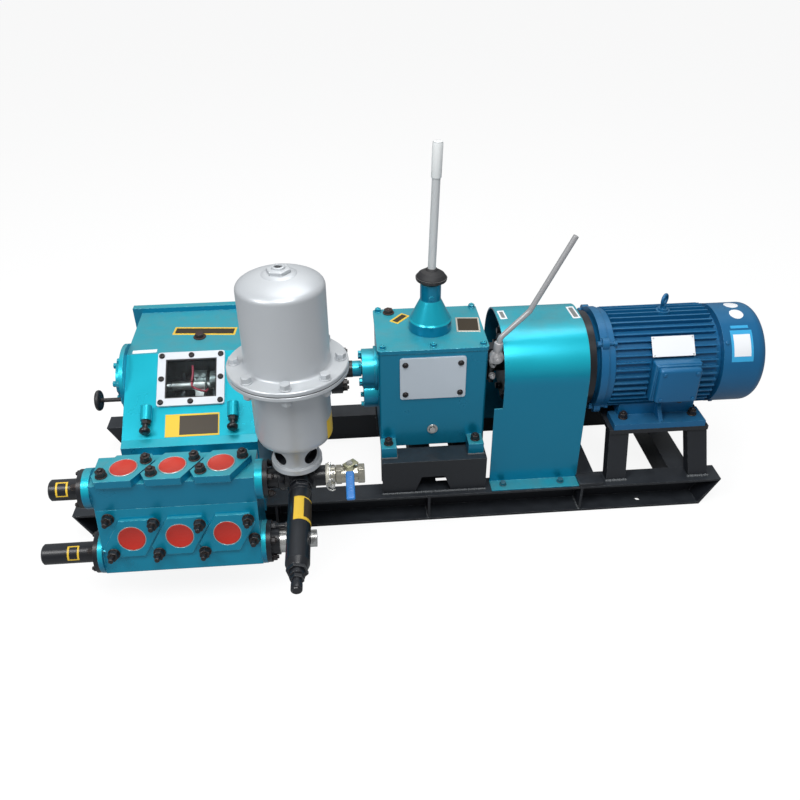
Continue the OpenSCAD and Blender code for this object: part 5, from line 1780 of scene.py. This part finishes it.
@dataclass
class DriveGuard:
    """Lip bolts, bare plates and drum bolts of the guard."""

    shop: Workshop
    shaft: Pair = (-31.0, 352.0)
    half: float = 144.0
    lip_z: float = 83.0
    top_z: float = 481.0
    bolt_x: Pair = (253.0, 401.0)
    drum_x: float = 264.0
    lip_bolt: Fastener = Fastener(14.0, 7.0, 2.0)
    drum_bolt: Fastener = Fastener(15.0, 8.0, 2.0)

    def build(self) -> None:
        """Builds the bolts and the bare plates."""
        lips, plates, marks, drum = (Shape() for _ in range(4))
        y, z = self.shaft
        for x in self.bolt_x:
            for side in (-1, 1):
                at = stand_on((x, y + side * (self.half + 16.0), self.lip_z), spin=x)
                lips.nut(at, self.lip_bolt)
        self.shop.piece("guard_lip_bolts", lips, Slot.BLACK, TEAL_HEAD)
        for place, (long, wide) in (((257.0, -24.0), (17.0, 44.0)), ((433.0, -27.0), (19.0, 62.0))):
            at = stand_on((*place, self.top_z), spin=3.0)
            plates.slab(at, (long, wide, 0.6), 0.2, 1)
            marks.slab(at @ move(z=0.6), (long - 8, wide - 12, 0.25))
        self.shop.piece("guard_bare_plates", plates, Slot.PLATE, WHITE_FILM)
        self.shop.piece("guard_plate_fields", marks, Slot.PLATE, GREY_FILM)
        for i, cos, sin in polar(8, 10.0):
            at = stand_on((self.drum_x, y + 80 * cos, z + 80 * sin), (-1, 0, 0), 9 * i)
            drum.nut(at, self.drum_bolt)
        self.shop.piece("clutch_drum_bolts", drum, Slot.BLACK)


@dataclass
class Motor:
    """Bolts, plates, grille and films of the motor."""

    shop: Workshop
    shaft: Pair = (-31.0, 352.0)
    collar_x: float = 449.0
    shield_x: float = 480.0
    cowl_x: Pair = (783.0, 896.0)
    cowl_r: float = 125.0
    fin_r: float = 128.0
    foot_z: float = 236.0
    foot_x: Pair = (559.0, 737.0)
    foot_y: Pair = (-139.0, 77.0)
    box: Triple = (660.0, -192.0, 357.0)
    box_foot_y: float = -151.0
    plate_x: float = 656.5
    foot_bolt: Fastener = Fastener(18.0, 11.0, 3.0, 5.0, 5.5)
    shield_bolt: Fastener = Fastener(13.0, 8.0, 1.8)
    shield_nut: Fastener = Fastener(13.0, 8.0)

    def round_axis(self, x: float, angle: float, radius: float) -> Matrix:
        """Placement that faces outwards round the motor.

        Args:
            x: Place along the motor.
            angle: Degrees from the top towards the front.
            radius: Distance from the shaft line.

        Returns:
            The placement, in millimetres, with local X along the motor.
        """
        return move(x, *self.shaft) @ turn(angle, "X") @ move(z=radius)

    def bolts(self) -> None:
        """Foot bolts, shield bolts, lid screws and cowl screws."""
        dark, painted = Shape(), Shape()
        for i, x in enumerate(self.foot_x):
            for j, y in enumerate(self.foot_y):
                at = stand_on((x, y, self.foot_z), spin=19.0 * (i + 2 * j))
                dark.nut(at, self.foot_bolt)
        self.shop.piece("motor_foot_bolts", dark, Slot.BLACK, DARK_HEAD)
        for i in range(4):
            at = self.round_axis(self.shield_x + 2.0, 45 + 90 * i, 126.0)
            painted.nut(at @ turn(-90, "Y"), self.shield_bolt)
            right = at @ move(16.0) @ turn(90, "Y")
            painted.drum(right, 4.6, 20.0, 14)
            painted.nut(right @ move(z=14), self.shield_nut)
        for i in range(4):
            at = self.round_axis(self.cowl_x[0] + 9.0, 50 + 90 * i, self.cowl_r)
            painted.drum(at, 5.0, 2.6, 20, bevel=0.8)
        x, y, z = self.box
        for dx, dz in corners(40.0, 35.0):
            painted.drum(stand_on((x + dx, y - 3.9, z + dz), (0, -1, 0)), 4.4, 2.4, 20, bevel=0.7)
        self.shop.piece("motor_painted_bolts", painted, Slot.MOTOR)

    def terminal_box(self) -> None:
        """Cast terminal box with its rounded and chamfered lid."""
        box = Shape()
        low = stand_on((self.box[0], self.box_foot_y, self.box[2]), (0, -1, 0))
        box.slab(low, (114.0, 104.0, 23.0), 3.0, 3)
        box.slab(low @ move(z=20.0), (108.0, 98.0, 8.0), 2.0, 2)
        box.slab(low @ move(z=26.0), (104.0, 94.0, 19.0), 8.0, 4)
        self.shop.piece("terminal_box_cast", box, Slot.MOTOR, smooth=40.0, replaces="terminal_box")

    def painted_shade_ring(self) -> None:
        """Painted shade: a black ring between the guard and the motor's end shield stands for the shadowed
        gap there.
        """
        collar = Shape()
        collar.ring(move(self.collar_x, *self.shaft) @ turn(90, "Y"), 121.0, 70.0, 22.0, 72)
        self.shop.piece("guard_gap_shade_ring", collar, Slot.BLACK)

    def cable_gland(self) -> None:
        """Gland with a blind plug under the terminal box."""
        gland = Shape()
        x, y, z = self.box
        at = stand_on((x + 22.0, y + 26.0, z - 48.0), (0, 0, -1))
        gland.drum(at, 12.0, 5.0, 6, bevel=0.8)
        gland.drum(at @ move(z=5), 9.5, 9.0, 28, top=8.0, bevel=0.8)
        self.shop.piece("cable_gland_plug", gland, Slot.BLACK)

    def nameplate(self) -> None:
        """Bare plate across the fins with its rivets."""
        plate, pins = Shape(), Shape()
        at = self.round_axis(self.plate_x, 51.0, self.fin_r - 0.6)
        plate.slab(at, (105.0, 50.0, 1.4), 0.4, 1)
        for x, y in corners(48.0, 21.0):
            pins.drum(at @ move(x, y, 1.4), 1.9, 1.0, 12, bevel=0.4)
        self.shop.piece("motor_bare_plate", plate, Slot.PLATE, WHITE_FILM)
        self.shop.piece("motor_plate_pins", pins, Slot.BRIGHT)

    def disc(self, x: float, angle: float, radius: float) -> bmesh.types.BMesh:
        """Makes a thin disc that is bent round the cowl.

        Args:
            x: Place of its middle along the motor.
            angle: Degrees of its middle from the top towards the front.
            radius: Radius of the disc.

        Returns:
            The disc.
        """
        made = bmesh.new()
        bmesh.ops.create_circle(made, cap_ends=True, cap_tris=True, segments=40, radius=radius)
        bmesh.ops.subdivide_edges(made, edges=made.edges[:], cuts=3, use_grid_fill=True)
        bmesh.ops.recalc_face_normals(made, faces=made.faces)
        bmesh.ops.solidify(made, geom=made.faces[:], thickness=-0.5)
        for vert in made.verts:
            bend, lift = vert.co.y / self.cowl_r, self.cowl_r + vert.co.z
            vert.co = Vector((vert.co.x, lift * math.sin(bend), lift * math.cos(bend)))
        made.transform(self.round_axis(x, angle, 0.0))
        return made

    def films(self) -> None:
        """Bare films on the cowl."""
        rim, white = Shape(), Shape()
        along = along_skid(*self.shaft)
        rim.wrap(along, self.cowl_r, (36.0, 72.0), (802.0, 856.0), 0.3)
        rim.wrap(along, self.cowl_r, (30.0, 33.5), (806.0, 850.0), 0.3)
        white.wrap(along, self.cowl_r + 0.3, (41.0, 66.0), (808.0, 850.0), 0.25)
        self.shop.piece("cowl_film_rim", rim, Slot.MOTOR, SKY_FILM)
        for x, angle in ((838.0, -7.0), (834.0, 13.0)):
            white.join(self.disc(x, angle, 17.0))
        self.shop.piece("cowl_bare_films", white, Slot.MOTOR, WHITE_FILM)

    def grille(self) -> None:
        """Painted shade: thin near-black sheets on the end of the cowl stand for its air slots, between two
        thin rings.
        """
        slots, rings = Shape(), Shape()
        end = move(self.cowl_x[1], *self.shaft) @ turn(90, "Y")
        for row, radius in enumerate((34.0, 48.0, 62.0, 76.0, 90.0)):
            count = 8 + 4 * row
            long = 2 * math.pi * radius / count - 6.0
            for i in range(count):
                spin = Matrix.Rotation(math.tau * (i + 0.5 * (row % 2)) / count, 4, "Z")
                slots.slab(end @ spin @ move(radius), (8.0, long, 0.25), 3.0, 3)
        self.shop.piece("cowl_slot_shade_sheets", slots, Slot.FRAME, SLOT_SHADE_PAINT)
        for radius in (26.0, 99.0):
            rings.ring(end, radius, radius - 1.6, 0.8, 64)
        self.shop.piece("cowl_end_rings", rings, Slot.MOTOR)

    def build(self) -> None:
        """Builds and dresses the motor."""
        self.bolts()
        self.terminal_box()
        self.painted_shade_ring()
        self.cable_gland()
        self.nameplate()
        self.films()
        self.grille()


def dress_nodes(nodes: dict[str, bpy.types.Object], record: dict, rack: FinishRack) -> None:
    """Gives every CAD node the finish of its slot, or one of its own.

    Args:
        nodes: The CAD nodes by name.
        record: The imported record.
        rack: All materials.
    """
    slots = {row["node"]: Slot(row["material_slot"]) for row in record["subparts"]}
    for name, node in nodes.items():
        node.data.materials.clear()
        special = OWN_FINISH.get(name)
        node.data.materials.append(rack.special(special) if special else rack.by_slot[slots[name]])
        LOG.info("node %s: %s", name, slots[name].value)


def main() -> None:
    """Loads the frame, builds the studio and dresses every sub-assembly in order."""
    logging.basicConfig(level=logging.INFO, format="%(message)s")
    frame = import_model()
    rack = FinishRack()
    shop = Workshop(rack)
    Studio().build()
    dress_nodes(frame["nodes"], frame["record"], rack)
    kinds = (
        Skid, PowerEnd, FluidEnd, Discharge, AirChamber, CouplingDiscs, Gearbox, GearShift, Clutch,
        DriveGuard, Motor,
    )
    for kind in kinds:
        part = kind(shop)
        part.build()
        LOG.info("built %s", type(part).__name__)


if __name__ == "__main__":
    main()
